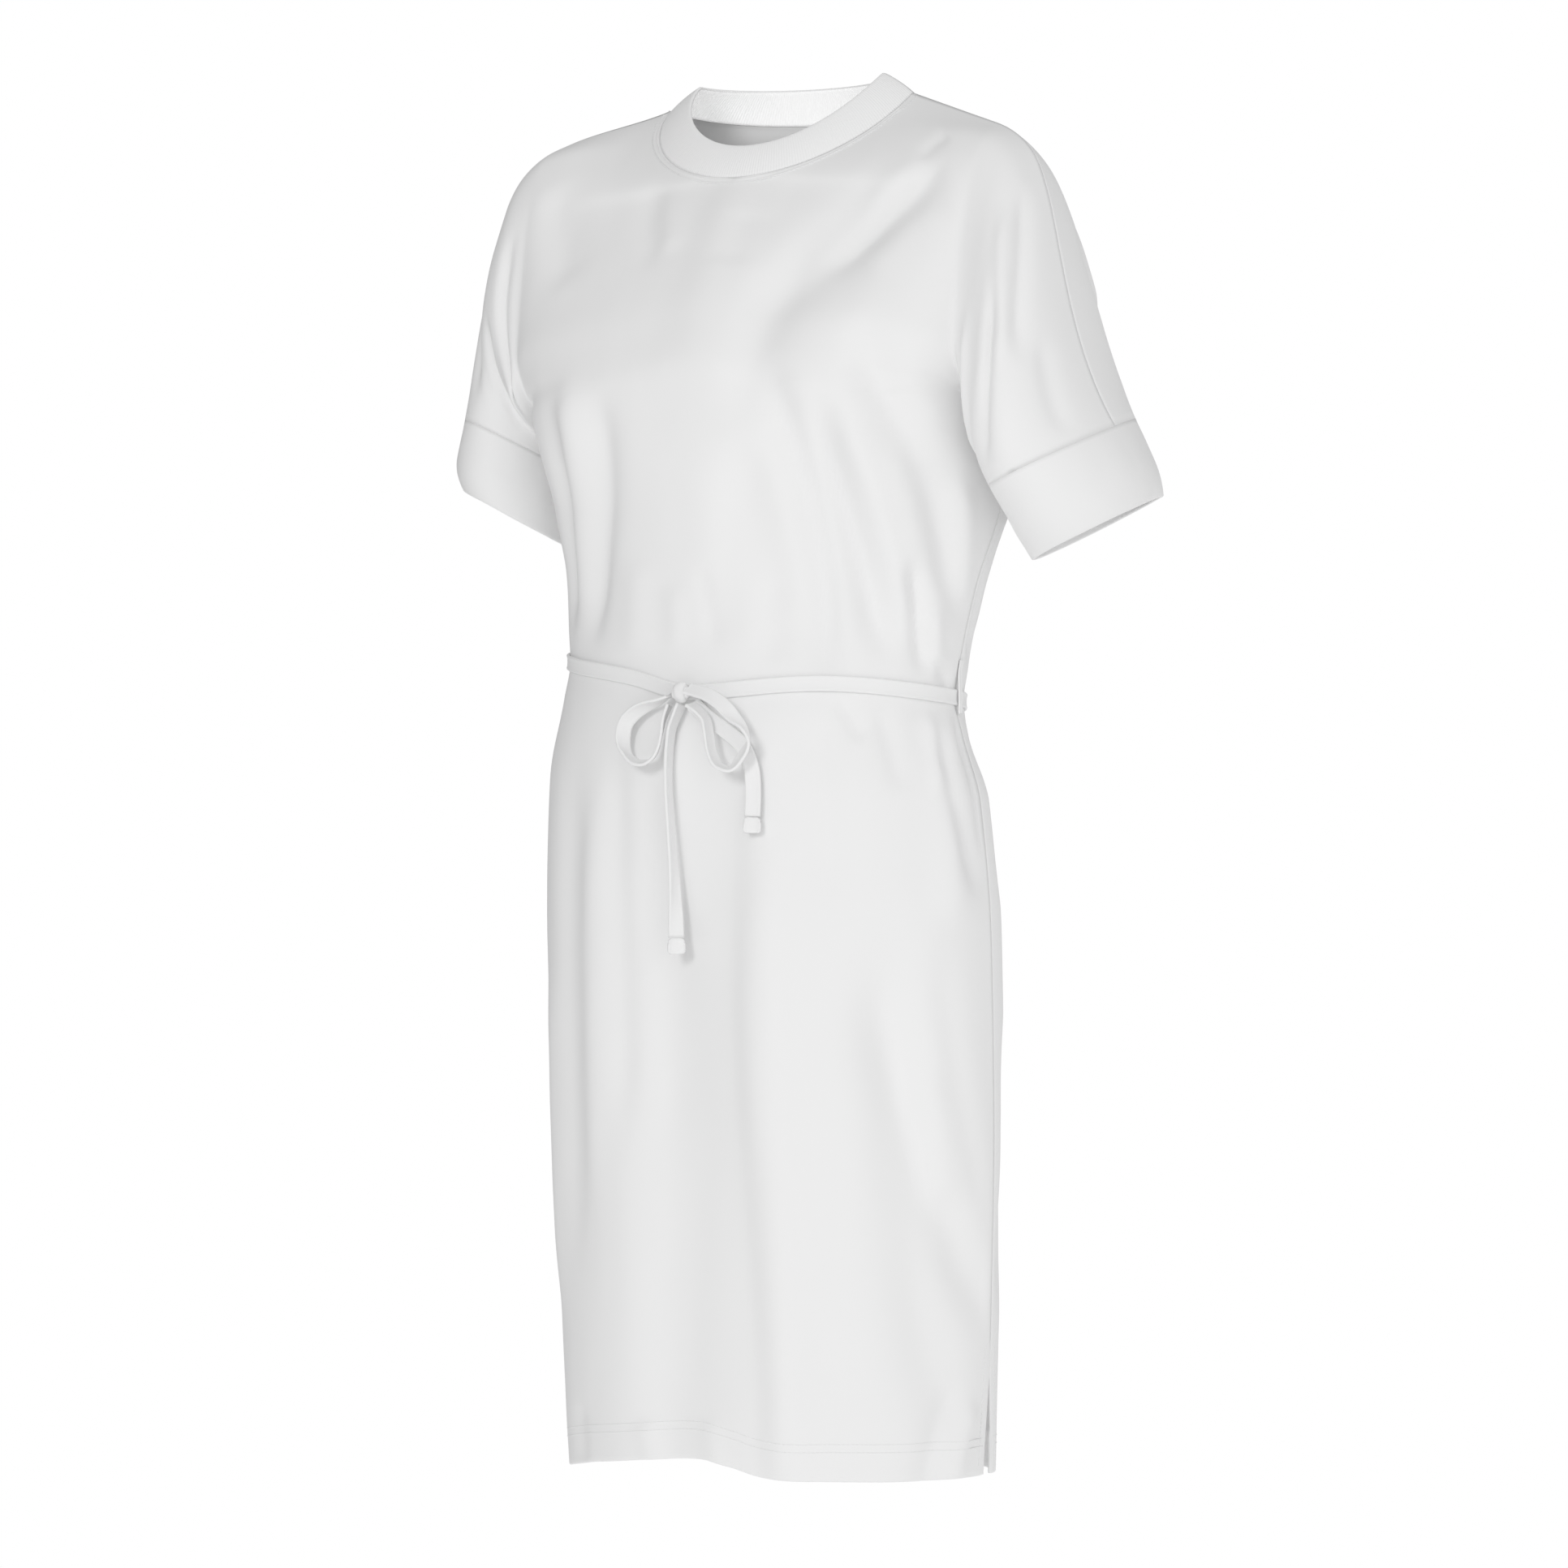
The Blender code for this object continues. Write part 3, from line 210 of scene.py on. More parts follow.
# Finer creases. Each runs through its places, as metres across to the wearer's left and metres
# below the shoulder. low and high are the half widths to its two sides, and a crisp one is
# pinched to an edge.
Crease = namedtuple("Crease", "panel run low high depth crisp")
CREASES = [
    # from the left shoulder to the bust
    Crease(
        "front",
        (
            (0.134, 0.062), (0.108, 0.092), (0.072, 0.130), (0.057, 0.156), (0.050, 0.195),
            (0.052, 0.260),
        ),
        0.018, 0.020, -0.0042, 0.1,
    ),
    Crease(
        "front",
        ((0.166, 0.058), (0.155, 0.066), (0.129, 0.089), (0.111, 0.112), (0.086, 0.138)),
        0.009, 0.013, -0.0034, 0.3,
    ),
    Crease(
        "front",
        ((0.148, 0.052), (0.114, 0.087), (0.082, 0.122), (0.064, 0.148)),
        0.012, 0.012, 0.0018, 0.0,
    ),
    Crease("front", ((0.166, 0.085), (0.140, 0.108), (0.118, 0.134)), 0.014, 0.016, 0.0014, 0.0),
    Crease("front", ((0.155, 0.036), (0.146, 0.045), (0.138, 0.056)), 0.006, 0.007, -0.0010, 0.2),
    # under the bust to the belt, on the wearer's left
    Crease(
        "front",
        ((0.064, 0.185), (0.069, 0.220), (0.084, 0.276), (0.099, 0.345), (0.104, 0.440)),
        0.014, 0.012, -0.0058, 0.2,
    ),
    Crease(
        "front",
        ((0.090, 0.205), (0.094, 0.250), (0.102, 0.310), (0.118, 0.405)),
        0.010, 0.010, 0.0020, 0.1,
    ),
    Crease(
        "front",
        ((0.092, 0.212), (0.107, 0.272), (0.124, 0.330), (0.152, 0.415)),
        0.011, 0.012, -0.0052, 0.3,
    ),
    Crease(
        "front",
        ((0.112, 0.225), (0.130, 0.280), (0.148, 0.345), (0.166, 0.400)),
        0.012, 0.011, 0.0026, 0.1,
    ),
    Crease(
        "front",
        (
            (0.122, 0.160), (0.136, 0.200), (0.153, 0.236), (0.175, 0.286), (0.190, 0.335),
            (0.203, 0.390),
        ),
        0.018, 0.017, -0.0064, 0.1,
    ),
    Crease(
        "front",
        ((0.160, 0.330), (0.166, 0.362), (0.173, 0.394), (0.183, 0.420)),
        0.008, 0.009, -0.0044, 0.5,
    ),
    Crease("front", ((0.176, 0.366), (0.184, 0.394), (0.193, 0.418)), 0.007, 0.008, 0.0030, 0.2),
    Crease("front", ((0.183, 0.402), (0.194, 0.416), (0.203, 0.426)), 0.005, 0.006, -0.0026, 0.4),
    Crease("front", ((0.200, 0.270), (0.207, 0.320), (0.212, 0.372)), 0.012, 0.010, 0.0022, 0.0),
    # under the bust, in the middle and on the wearer's right
    Crease(
        "front",
        ((-0.078, 0.205), (-0.075, 0.268), (-0.086, 0.335), (-0.100, 0.405)),
        0.014, 0.012, -0.0042, 0.2,
    ),
    Crease(
        "front",
        ((-0.108, 0.190), (-0.110, 0.260), (-0.116, 0.340), (-0.122, 0.400)),
        0.013, 0.015, 0.0034, 0.0,
    ),
    Crease("front", ((-0.140, 0.240), (-0.142, 0.310), (-0.138, 0.385)), 0.010, 0.012, -0.0022, 0.1),
    Crease("front", ((0.034, 0.262), (0.033, 0.330), (0.030, 0.408)), 0.014, 0.018, -0.0014, 0.0),
    Crease("front", ((0.008, 0.335), (0.014, 0.365), (0.022, 0.400)), 0.006, 0.007, -0.0011, 0.3),
    Crease("front", ((-0.012, 0.350), (-0.008, 0.400)), 0.010, 0.009, 0.0010, 0.0),
    Crease("front", ((0.058, 0.345), (0.064, 0.412)), 0.009, 0.010, -0.0012, 0.1),
    Crease("front", ((-0.045, 0.330), (-0.048, 0.408)), 0.016, 0.014, 0.0012, 0.0),
    # round the neck and the right shoulder
    Crease("front", ((-0.058, 0.062), (-0.048, 0.086), (-0.036, 0.120)), 0.010, 0.013, 0.0012, 0.0),
    Crease("front", ((-0.072, 0.055), (-0.066, 0.092), (-0.050, 0.130)), 0.011, 0.012, -0.0010, 0.0),
    Crease("front", ((-0.160, 0.055), (-0.146, 0.090), (-0.128, 0.140)), 0.016, 0.018, -0.0018, 0.0),
    Crease("front", ((0.020, 0.085), (0.015, 0.130)), 0.020, 0.022, -0.0008, 0.0),
    # skirt, below the belt
    Crease(
        "front",
        (
            (0.037, 0.440), (0.039, 0.560), (0.037, 0.640), (0.038, 0.720), (0.043, 0.790),
            (0.048, 0.860), (0.048, 1.080),
        ),
        0.036, 0.015, -0.0048, 0.0,
    ),
    Crease(
        "front",
        ((-0.057, 0.440), (-0.056, 0.543), (-0.053, 0.634), (-0.056, 0.760)),
        0.012, 0.014, -0.0024, 0.1,
    ),
    Crease("front", ((-0.030, 0.470), (-0.029, 0.540), (-0.031, 0.620)), 0.009, 0.010, -0.0012, 0.1),
    Crease(
        "front",
        ((-0.100, 0.445), (-0.110, 0.540), (-0.112, 0.680), (-0.116, 0.860)),
        0.016, 0.020, -0.0024, 0.0,
    ),
    Crease("front", ((-0.082, 0.480), (-0.084, 0.620), (-0.088, 0.800)), 0.014, 0.013, 0.0016, 0.0),
    Crease(
        "front",
        (
            (0.138, 0.610), (0.149, 0.655), (0.170, 0.720), (0.190, 0.778), (0.213, 0.830),
            (0.238, 0.885),
        ),
        0.022, 0.018, -0.0058, 0.0,
    ),
    Crease("front", ((0.172, 0.680), (0.186, 0.740), (0.198, 0.796)), 0.012, 0.012, 0.0028, 0.0),
    Crease(
        "front",
        ((0.190, 0.590), (0.197, 0.650), (0.210, 0.722), (0.224, 0.776), (0.232, 0.820)),
        0.014, 0.013, -0.0014, 0.1,
    ),
    Crease(
        "front",
        ((0.186, 0.445), (0.198, 0.490), (0.210, 0.525), (0.226, 0.575)),
        0.009, 0.010, -0.0034, 0.3,
    ),
    Crease(
        "front",
        ((0.206, 0.440), (0.216, 0.462), (0.230, 0.490), (0.240, 0.545)),
        0.006, 0.008, -0.0046, 0.5,
    ),
    Crease("front", ((0.178, 0.438), (0.184, 0.470), (0.190, 0.500)), 0.006, 0.007, 0.0022, 0.2),
    Crease("front", ((0.109, 0.432), (0.122, 0.448), (0.130, 0.462)), 0.005, 0.007, -0.0020, 0.4),
    Crease("front", ((0.096, 0.435), (0.105, 0.498), (0.109, 0.580)), 0.011, 0.012, -0.0013, 0.1),
    Crease("front", ((0.138, 0.434), (0.150, 0.462), (0.162, 0.500)), 0.008, 0.009, -0.0016, 0.2),
    Crease("front", ((0.110, 0.640), (0.106, 0.760), (0.108, 0.900)), 0.026, 0.030, 0.0018, 0.0),
    Crease("front", ((0.086, 0.620), (0.092, 0.760), (0.094, 0.940)), 0.018, 0.020, -0.0012, 0.0),
    Crease("front", ((-0.015, 0.700), (-0.018, 0.820), (-0.014, 0.990)), 0.018, 0.020, 0.0016, 0.0),
    Crease("front", ((-0.150, 0.600), (-0.156, 0.740), (-0.158, 0.880)), 0.016, 0.018, 0.0018, 0.0),
    Crease("front", ((-0.200, 0.460), (-0.206, 0.560), (-0.204, 0.700)), 0.013, 0.015, -0.0024, 0.1),
    # along the hem
    Crease("front", ((0.168, 0.990), (0.184, 0.940), (0.205, 0.905)), 0.010, 0.012, -0.0022, 0.2),
    Crease("front", ((0.196, 0.985), (0.206, 0.948), (0.220, 0.920)), 0.009, 0.010, 0.0022, 0.0),
    Crease("front", ((-0.044, 0.935), (-0.034, 0.975)), 0.009, 0.010, 0.0014, 0.0),
    Crease("front", ((0.012, 0.930), (0.016, 0.975)), 0.009, 0.009, 0.0012, 0.0),
    Crease("front", ((-0.120, 0.930), (-0.118, 0.980)), 0.014, 0.013, -0.0012, 0.0),
    # the back, above the belt
    Crease("back", ((-0.150, 0.060), (-0.120, 0.105), (-0.080, 0.150)), 0.013, 0.016, -0.0022, 0.1),
    Crease("back", ((0.156, 0.058), (0.128, 0.112), (0.094, 0.168)), 0.012, 0.015, -0.0026, 0.1),
    Crease("back", ((0.060, 0.030), (0.040, 0.055), (0.010, 0.070)), 0.014, 0.016, -0.0012, 0.0),
    Crease(
        "back",
        ((-0.148, 0.205), (-0.128, 0.270), (-0.112, 0.350), (-0.104, 0.412)),
        0.011, 0.014, -0.0036, 0.2,
    ),
    Crease("back", ((-0.120, 0.225), (-0.098, 0.300), (-0.086, 0.400)), 0.013, 0.012, 0.0022, 0.0),
    Crease("back", ((-0.012, 0.280), (-0.006, 0.350), (0.004, 0.414)), 0.013, 0.015, -0.0022, 0.1),
    Crease("back", ((0.020, 0.300), (0.024, 0.414)), 0.012, 0.012, 0.0014, 0.0),
    Crease(
        "back",
        ((0.128, 0.215), (0.118, 0.290), (0.106, 0.360), (0.100, 0.416)),
        0.010, 0.013, -0.0034, 0.3,
    ),
    Crease("back", ((0.160, 0.230), (0.154, 0.310), (0.140, 0.410)), 0.012, 0.010, 0.0022, 0.0),
    Crease("back", ((-0.186, 0.280), (-0.176, 0.350), (-0.168, 0.412)), 0.010, 0.012, -0.0030, 0.2),
    Crease("back", ((0.190, 0.300), (0.182, 0.360), (0.172, 0.414)), 0.009, 0.011, -0.0030, 0.2),
    # the back, below the belt
    Crease("back", ((-0.012, 0.436), (-0.020, 0.500), (-0.030, 0.620)), 0.012, 0.014, -0.0024, 0.1),
    Crease("back", ((0.078, 0.436), (0.086, 0.500), (0.084, 0.600)), 0.011, 0.013, -0.0024, 0.1),
    Crease("back", ((-0.128, 0.436), (-0.142, 0.490), (-0.152, 0.570)), 0.009, 0.012, -0.0026, 0.2),
    Crease("back", ((0.162, 0.438), (0.174, 0.500), (0.184, 0.580)), 0.010, 0.012, -0.0026, 0.2),
    Crease("back", ((-0.150, 0.640), (-0.166, 0.740), (-0.190, 0.850)), 0.014, 0.016, -0.0028, 0.1),
    Crease("back", ((0.004, 0.640), (0.000, 0.780), (0.006, 0.990)), 0.020, 0.018, -0.0022, 0.0),
    Crease("back", ((0.074, 0.660), (0.080, 0.800), (0.078, 0.990)), 0.018, 0.020, -0.0018, 0.0),
    Crease("back", ((0.184, 0.650), (0.186, 0.760), (0.198, 0.870)), 0.013, 0.014, -0.0024, 0.1),
    Crease("back", ((-0.050, 0.700), (-0.046, 0.840), (-0.050, 0.990)), 0.020, 0.022, 0.0020, 0.0),
]
CREASE_FADE = 0.25  # share of a fine crease's length over which each end dies away
CREASE_STEPS = 16
SEAM_FADE = 0.012  # how near to a side seam all depth dies away
NECK_FADE = 0.035
NECK_CALM = 0.020  # how near to the neck seam the cloth hangs even
BELT_CALM = 0.012  # half height of the stretch that the belt holds flat
BELT_HOLD = 0.75  # how much of the depth the belt takes away there
BAND_PAINTED_GLOW = 0.58  # how strongly the inside of the neck band is given painted light, emission standing in for light through the rib
NECK_PAINTED_GLOW_REACH = 0.150  # how far down the inside of the cloth round the neck is given painted light, emission standing in for light through the cloth

# Creases of the sleeves run through places given as the level round the arm and the share of the
# way from the armhole to the cuff
SleeveCrease = namedtuple("SleeveCrease", "cuff panel run low high depth crisp")
SLEEVE_CREASES = [
    SleeveCrease(
        "left", "front",
        ((0.10, 0.28), (0.16, 0.42), (0.23, 0.58), (0.29, 0.74)),
        0.010, 0.012, -0.0026, 0.2,
    ),
    SleeveCrease("left", "front", ((0.24, 0.24), (0.33, 0.45), (0.38, 0.70)), 0.014, 0.012, 0.0016, 0.0),
    SleeveCrease(
        "left", "front",
        ((0.34, 0.38), (0.44, 0.58), (0.54, 0.76), (0.66, 0.92)),
        0.011, 0.013, -0.0030, 0.2,
    ),
    SleeveCrease("left", "front", ((0.16, 0.70), (0.19, 0.85), (0.21, 0.99)), 0.009, 0.010, -0.0016, 0.1),
    SleeveCrease("left", "front", ((0.62, 0.10), (0.74, 0.40), (0.84, 0.80)), 0.012, 0.012, 0.0018, 0.0),
    SleeveCrease("left", "back", ((0.20, 0.36), (0.27, 0.60), (0.32, 0.90)), 0.012, 0.014, -0.0014, 0.1),
    SleeveCrease("left", "back", ((0.40, 0.22), (0.50, 0.55), (0.60, 0.90)), 0.011, 0.013, -0.0028, 0.2),
    SleeveCrease("left", "back", ((0.30, 0.20), (0.38, 0.60)), 0.012, 0.012, 0.0014, 0.0),
    SleeveCrease(
        "right", "front",
        ((0.36, 0.10), (0.52, 0.17), (0.74, 0.18), (0.92, 0.10)),
        0.010, 0.012, -0.0032, 0.3,
    ),
    SleeveCrease(
        "right", "front",
        ((0.14, 0.26), (0.24, 0.46), (0.36, 0.70), (0.46, 0.94)),
        0.012, 0.014, -0.0026, 0.1,
    ),
    SleeveCrease("right", "front", ((0.06, 0.40), (0.12, 0.66), (0.16, 0.98)), 0.012, 0.013, 0.0018, 0.0),
    SleeveCrease("right", "front", ((0.48, 0.40), (0.60, 0.62), (0.74, 0.90)), 0.010, 0.012, -0.0022, 0.1),
    SleeveCrease("right", "back", ((0.10, 0.30), (0.20, 0.58), (0.26, 0.92)), 0.012, 0.014, -0.0020, 0.1),
    SleeveCrease("right", "back", ((0.44, 0.20), (0.56, 0.50), (0.64, 0.92)), 0.012, 0.013, -0.0028, 0.2),
]
ARM_HALF_ROUND = 0.225
ARM_RUN = 0.170

# The tied bow. Each strip runs through points given as metres across from the knot, off the cloth
# and up from the belt's middle. faces are the ways its broad side looks, evenly along it.
Strip = namedtuple("Strip", "name points faces")
BOW_STRIPS = [
    Strip(
        "bow_loop_right",
        [
            (-0.0083, 0.0098, -0.0020), (-0.0165, 0.0105, -0.0060), (-0.0265, 0.0112, -0.0092),
            (-0.0368, 0.0112, -0.0145), (-0.0432, 0.0110, -0.0211), (-0.0453, 0.0108, -0.0300),
            (-0.0430, 0.0106, -0.0395), (-0.0370, 0.0105, -0.0460), (-0.0290, 0.0104, -0.0489),
            (-0.0215, 0.0103, -0.0478), (-0.0168, 0.0102, -0.0440), (-0.0140, 0.0100, -0.0380),
            (-0.0124, 0.0098, -0.0290), (-0.0112, 0.0096, -0.0190), (-0.0082, 0.0090, -0.0088),
        ],
        [
            (0.35, 0.20, -0.85), (0.25, -0.60, -0.75), (0.40, -0.90, -0.10), (0.72, -0.05, 0.60),
            (-0.43, -0.25, 0.74), (-0.85, -0.49, 0.17), (-0.97, -0.25, 0.05),
        ],
    ),
    Strip(
        "bow_loop_left",
        [
            (0.0075, 0.0120, 0.0025), (0.0253, 0.0140, -0.0022), (0.0351, 0.0150, -0.0078),
            (0.0449, 0.0155, -0.0167), (0.0541, 0.0160, -0.0256), (0.0575, 0.0158, -0.0344),
            (0.0530, 0.0150, -0.0444), (0.0448, 0.0142, -0.0530), (0.0371, 0.0140, -0.0510),
            (0.0312, 0.0138, -0.0422), (0.0274, 0.0136, -0.0289), (0.0240, 0.0132, -0.0185),
            (0.0180, 0.0136, -0.0125), (0.0112, 0.0136, -0.0082),
        ],
        [
            (0.20, -0.60, 0.75), (0.30, -0.75, 0.60), (0.35, -0.80, 0.45), (0.80, 0.11, 0.42),
            (0.55, 0.75, -0.30), (-0.20, 0.15, -0.95), (-0.85, 0.15, -0.35), (-0.90, 0.10, -0.30),
            (-0.45, 0.25, -0.80),
        ],
    ),
    Strip(
        "belt_tail_long",
        [
            (0.0008, 0.0085, -0.0082), (-0.0020, 0.0082, -0.0160), (-0.0050, 0.0078, -0.0240),
            (-0.0063, 0.0075, -0.0360), (-0.0065, 0.0076, -0.0600), (-0.0053, 0.0086, -0.0934),
            (-0.0032, 0.0100, -0.1270), (-0.0009, 0.0118, -0.1600), (-0.0004, 0.0122, -0.1700),
        ],
        [
            (1.00, 0.00, 0.10), (1.00, 0.05, 0.00), (1.00, 0.10, 0.00), (1.00, 0.10, 0.00),
            (1.00, 0.00, 0.00), (0.90, -0.30, 0.00), (0.60, -0.80, 0.00),
        ],
    ),
    Strip(
        "belt_tail_short",
        [
            (0.0080, 0.0043, -0.0080), (0.0200, 0.0043, -0.0170), (0.0340, 0.0043, -0.0260),
            (0.0480, 0.0052, -0.0370), (0.0560, 0.0054, -0.0530), (0.0585, 0.0056, -0.0700),
            (0.0590, 0.0058, -0.0860),
        ],
        [(0.20, -1.00, 0.20), (0.35, -0.95, 0.05), (0.45, -0.90, 0.00)],
    ),
]
KNOT_CENTRE = (0.0, 0.0082, 0.0)
KNOT_HALF_SIZES = (0.0078, 0.0048, 0.0072)
WRAP_AT = 0.05  # the middle of the turn over the knot, and its half width, in half knots
WRAP_HALF_WIDTH = 0.62
GROOVE_AT = 0.66
GROOVE_HALF_WIDTH = 0.10
TIP_GAP = 0.0004
TIP_LENGTH = 0.011
TIP_HALF_WIDTH = 0.0054
TIP_WIDENS = 0.0010
TIP_HALF_WALL = 0.0012
TIP_SWELLS = 0.0013
PINCH_AT = 0.28  # the seam across the tip, as a share of its length
PINCH_HALF_WIDTH = 0.07
PINCH_DEPTH = 0.10

LoopPoint = namedtuple("LoopPoint", "off rise")
BELT_LOOP_RUN = [
    LoopPoint(0.0010, 0.0260),
    LoopPoint(0.0012, 0.0180),
    LoopPoint(0.0030, 0.0095),
    LoopPoint(0.0038, 0.0050),
    LoopPoint(0.0038, -0.0050),
    LoopPoint(0.0031, -0.0085),
    LoopPoint(0.0024, -0.0115),
]

# The cut of each piece, laid flat: width, length and area
Cut = namedtuple("Cut", "width length area")

# How finely the cloth is cut
ARM_ROWS = 78
SIDE_ROWS = 18
SKIRT_STEP = 0.0040
BODY_COLUMNS = 66
SLEEVE_COLUMNS = 44
BAND_ROWS = 14
BAND_COLUMNS = 60
CUFF_ROWS = 18
CUFF_COLUMNS = 80
RIM_STEPS = 3
TAIL_STEPS = 60
LOOP_STEPS = 110
TIP_STEPS = 25
BELT_LOOP_STEPS = 40
BELT_SMOOTHING = 10  # rounds of evening, so that the belt bridges the finest creases
BELT_LIFT_SMOOTHING = 4
BELT_LIFT_REACH = 4  # points to each side whose cloth the belt stays clear of
NECK_RIDGE_STEPS = 160
KNOT_RINGS = 40
KNOT_ROUND_STEPS = 56
STITCH_SIDES = 6
FLOOR_SIDES = 96

# The surface is evened out round the armhole fold: settled first, and then smoothed in place
RELAX_STEPS = [0.5] * 36
EVEN_STEPS = [0.5, -0.51] * 200
SETTLE_REACH = 0.022  # metres to either side of the fold
SETTLE_LOSS = 0.85  # how much weaker it is down the armhole than at the shoulder
SETTLE_LOSS_FROM = 0.25  # the level where it starts to weaken
SETTLE_LOSS_OVER = 0.6
SETTLE_END = 1.02
SETTLE_END_OVER = 0.05
EVEN_REACH = 0.040  # metres along the sleeve
EVEN_END = 1.4
EVEN_END_OVER = 0.3

# Where the creases die away: over shares of a row, levels and metres
ARMHOLE_FADE = 0.25
SHOULDER_SEAM_FADE = 0.10
SLIT_FADE = 0.02
SLEEVE_START_FADE = 0.12
SLEEVE_END_FADE = 0.08
SLEEVE_TOP_FADE = 0.08
SLEEVE_UNDER_FADE = 0.10

# The unevenness of hung cloth: across and down one wave, broad and fine
BROAD_STRAY = (0.050, 0.150)
FINE_STRAY = (0.017, 0.040)
FINE_STRAY_SHARE = 0.4
FINE_STRAY_SEED = 9.5
CUFF_STRAY_SHARE = 1.4
CUFF_STRAY_STRETCH = 2.5

FAR = 1.0  # stands for a distance that doesn't matter
EDGE_REACH = 0.2  # distances to an edge are followed up to here
HEM_EDGE_REACH = 0.001
NECK_EDGE_REACH = 0.004
SEAM_FACING = 0.6  # a rim that looks this much forwards or back meets the other panel
FORWARD = {"front": -1, "back": 1}
STRAY_SEED = {"front": 3.0, "back": 17.0}
CUFF_STRAY_SEED = 31.0

# The look of the cloth: how fine each pattern is, and how high it stands
SLUB_SCALE = 260.0
RIB_SLUB_SCALE = 240.0
SOFT_SCALE = 42.0
TWIST_SCALE = 1500.0
STREAK_SPREAD = (130.0, 1000.0, 0.0)
KNIT_RELIEF = 0.00005
STRIP_KNIT_RELIEF = 0.00006
SLUB_RELIEF = 0.00012
STRIP_SLUB_RELIEF = 0.00014
SOFT_RELIEF = 0.00050
YARN_RELIEF = 0.00004
RIB_RELIEF = 0.00016
LOOP_RELIEF = 0.00003
Relief = namedtuple("Relief", "centre half_width height")
HEM_RELIEFS = [
    Relief(0.0225, 0.0036, 0.00035),
    Relief(0.0262, 0.0012, -0.00015),
    Relief(0.0000, 0.0225, 0.00030),
]

KEY_PLACE = (0.0, -3.75, 0.85)
KEY_SIZE = 1.2
KEY_AIM = (0.0, 0.0, -0.5)
# The floor glows, painted light: white at its rim, like the backdrop, and dimmer in the middle, a painted
# soft shade under the dress, where its pale colour takes the real light
FLOOR_MIDDLE = (0.62, 0.62, 0.62)
FLOOR_PAINTED_SHADE_GLOW = (0.30, 0.30, 0.30)


class DressSizes(PropertyGroup):
    cloth_wall: FloatProperty(
        name="Cloth Wall", description="Thickness of one layer of jersey", default=0.0015, unit="LENGTH"
    )
    hem_wall: FloatProperty(
        name="Hem Wall", description="Thickness of the turned hem", default=0.0025, unit="LENGTH"
    )
    band_wall: FloatProperty(
        name="Band Wall",
        description="Thickness of the neck band and of the turned cuffs",
        default=0.0024,
        unit="LENGTH",
    )
    crease_share: FloatProperty(
        name="Crease Share",
        description="How strongly the finer creases show",
        default=1.7,
        subtype="FACTOR",
    )
    unevenness: FloatProperty(
        name="Unevenness",
        description="How far the hung cloth strays from a smooth surface",
        default=0.0007,
        unit="LENGTH",
    )
    stitch_length: FloatProperty(
        name="Stitch Length", description="Length of one topstitch", default=0.0024, unit="LENGTH"
    )
    stitch_gap: FloatProperty(
        name="Stitch Gap", description="Space between two topstitches", default=0.0008, unit="LENGTH"
    )
    thread_radius: FloatProperty(
        name="Thread Radius",
        description="Half the width of the sewing thread",
        default=0.00026,
        unit="LENGTH",
    )
    wale: FloatProperty(
        name="Wale", description="Width of one column of knitted loops", default=0.0011, unit="LENGTH"
    )
    course: FloatProperty(
        name="Course", description="Height of one row of knitted loops", default=0.0009, unit="LENGTH"
    )
    rib: FloatProperty(
        name="Rib", description="Width of one rib of the neck band", default=0.0021, unit="LENGTH"
    )


class DressColours(PropertyGroup):
    jersey: FloatVectorProperty(
        name="Jersey",
        description="Colour of the bleached cotton jersey",
        default=(0.85, 0.85, 0.852),
        subtype="COLOR",
        size=3,
    )
    shade: FloatVectorProperty(
        name="Shade",
        description="Colour of the jersey where the yarn is denser",
        default=(0.81, 0.812, 0.816),
        subtype="COLOR",
        size=3,
    )
    double: FloatVectorProperty(
        name="Double",
        description="Colour where the jersey lies double",
        default=(0.94, 0.94, 0.94),
        subtype="COLOR",
        size=3,
    )
    # painted light: the colour of the emission inside the neck, standing in for light through the cloth
    painted_glow: FloatVectorProperty(
        name="Glow",
        description="Light that shows through the cloth to the inside of the neck",
        default=(0.66, 0.66, 0.66),
        subtype="COLOR",
        size=3,
    )
    thread: FloatVectorProperty(
        name="Thread",
        description="Colour of the sewing thread",
        default=(0.90, 0.90, 0.90),
        subtype="COLOR",
        size=3,
    )
    backdrop: FloatVectorProperty(
        name="Backdrop",
        description="Colour of the floor and the light round it",
        default=(1.0, 1.0, 1.0),
        subtype="COLOR",
        size=3,
    )


class DressStudio(PropertyGroup):
    azimuth: FloatProperty(
        name="Azimuth",
        description="How far round to the wearer's left the camera stands",
        default=math.radians(30),
        subtype="ANGLE",
    )
    distance: FloatProperty(
        name="Distance", description="Camera to the dress's upright axis", default=3.8, unit="LENGTH"
    )
    height: FloatProperty(
        name="Height",
        description="Camera's height against the shoulders",
        default=-0.491,
        unit="LENGTH",
    )
    sideways: FloatProperty(
        name="Sideways", description="Camera's shift to its right", default=-0.005, unit="LENGTH"
    )
    lens: FloatProperty(
        name="Lens",
        description="Focal length on a 36 mm frame",
        default=121.25,
        subtype="DISTANCE_CAMERA",
    )
    floor_height: FloatProperty(
        name="Floor Height", description="Height of the studio floor", default=-1.45, unit="LENGTH"
    )
    floor_radius: FloatProperty(
        name="Floor Radius", description="Half the width of the round floor", default=2.2, unit="LENGTH"
    )
    ambient: FloatProperty(name="Ambient", description="Strength of the light from all round", default=0.55)
    from_side: FloatProperty(
        name="From the Side", description="How much more comes from the brighter side", default=0.42
    )
    bright_side: FloatVectorProperty(
        name="Bright Side",
        description="Where most light comes from",
        default=(0.893, -0.416, -0.174),
        subtype="DIRECTION",
        size=3,
    )
    key_watts: FloatProperty(
        name="Key", description="Power of the light near the camera", default=31.0, subtype="POWER"
    )


def sizes():
    return bpy.context.scene.dress_sizes


def colours():
    return bpy.context.scene.dress_colours


def studio():
    return bpy.context.scene.dress_studio


# The surface of the cloth


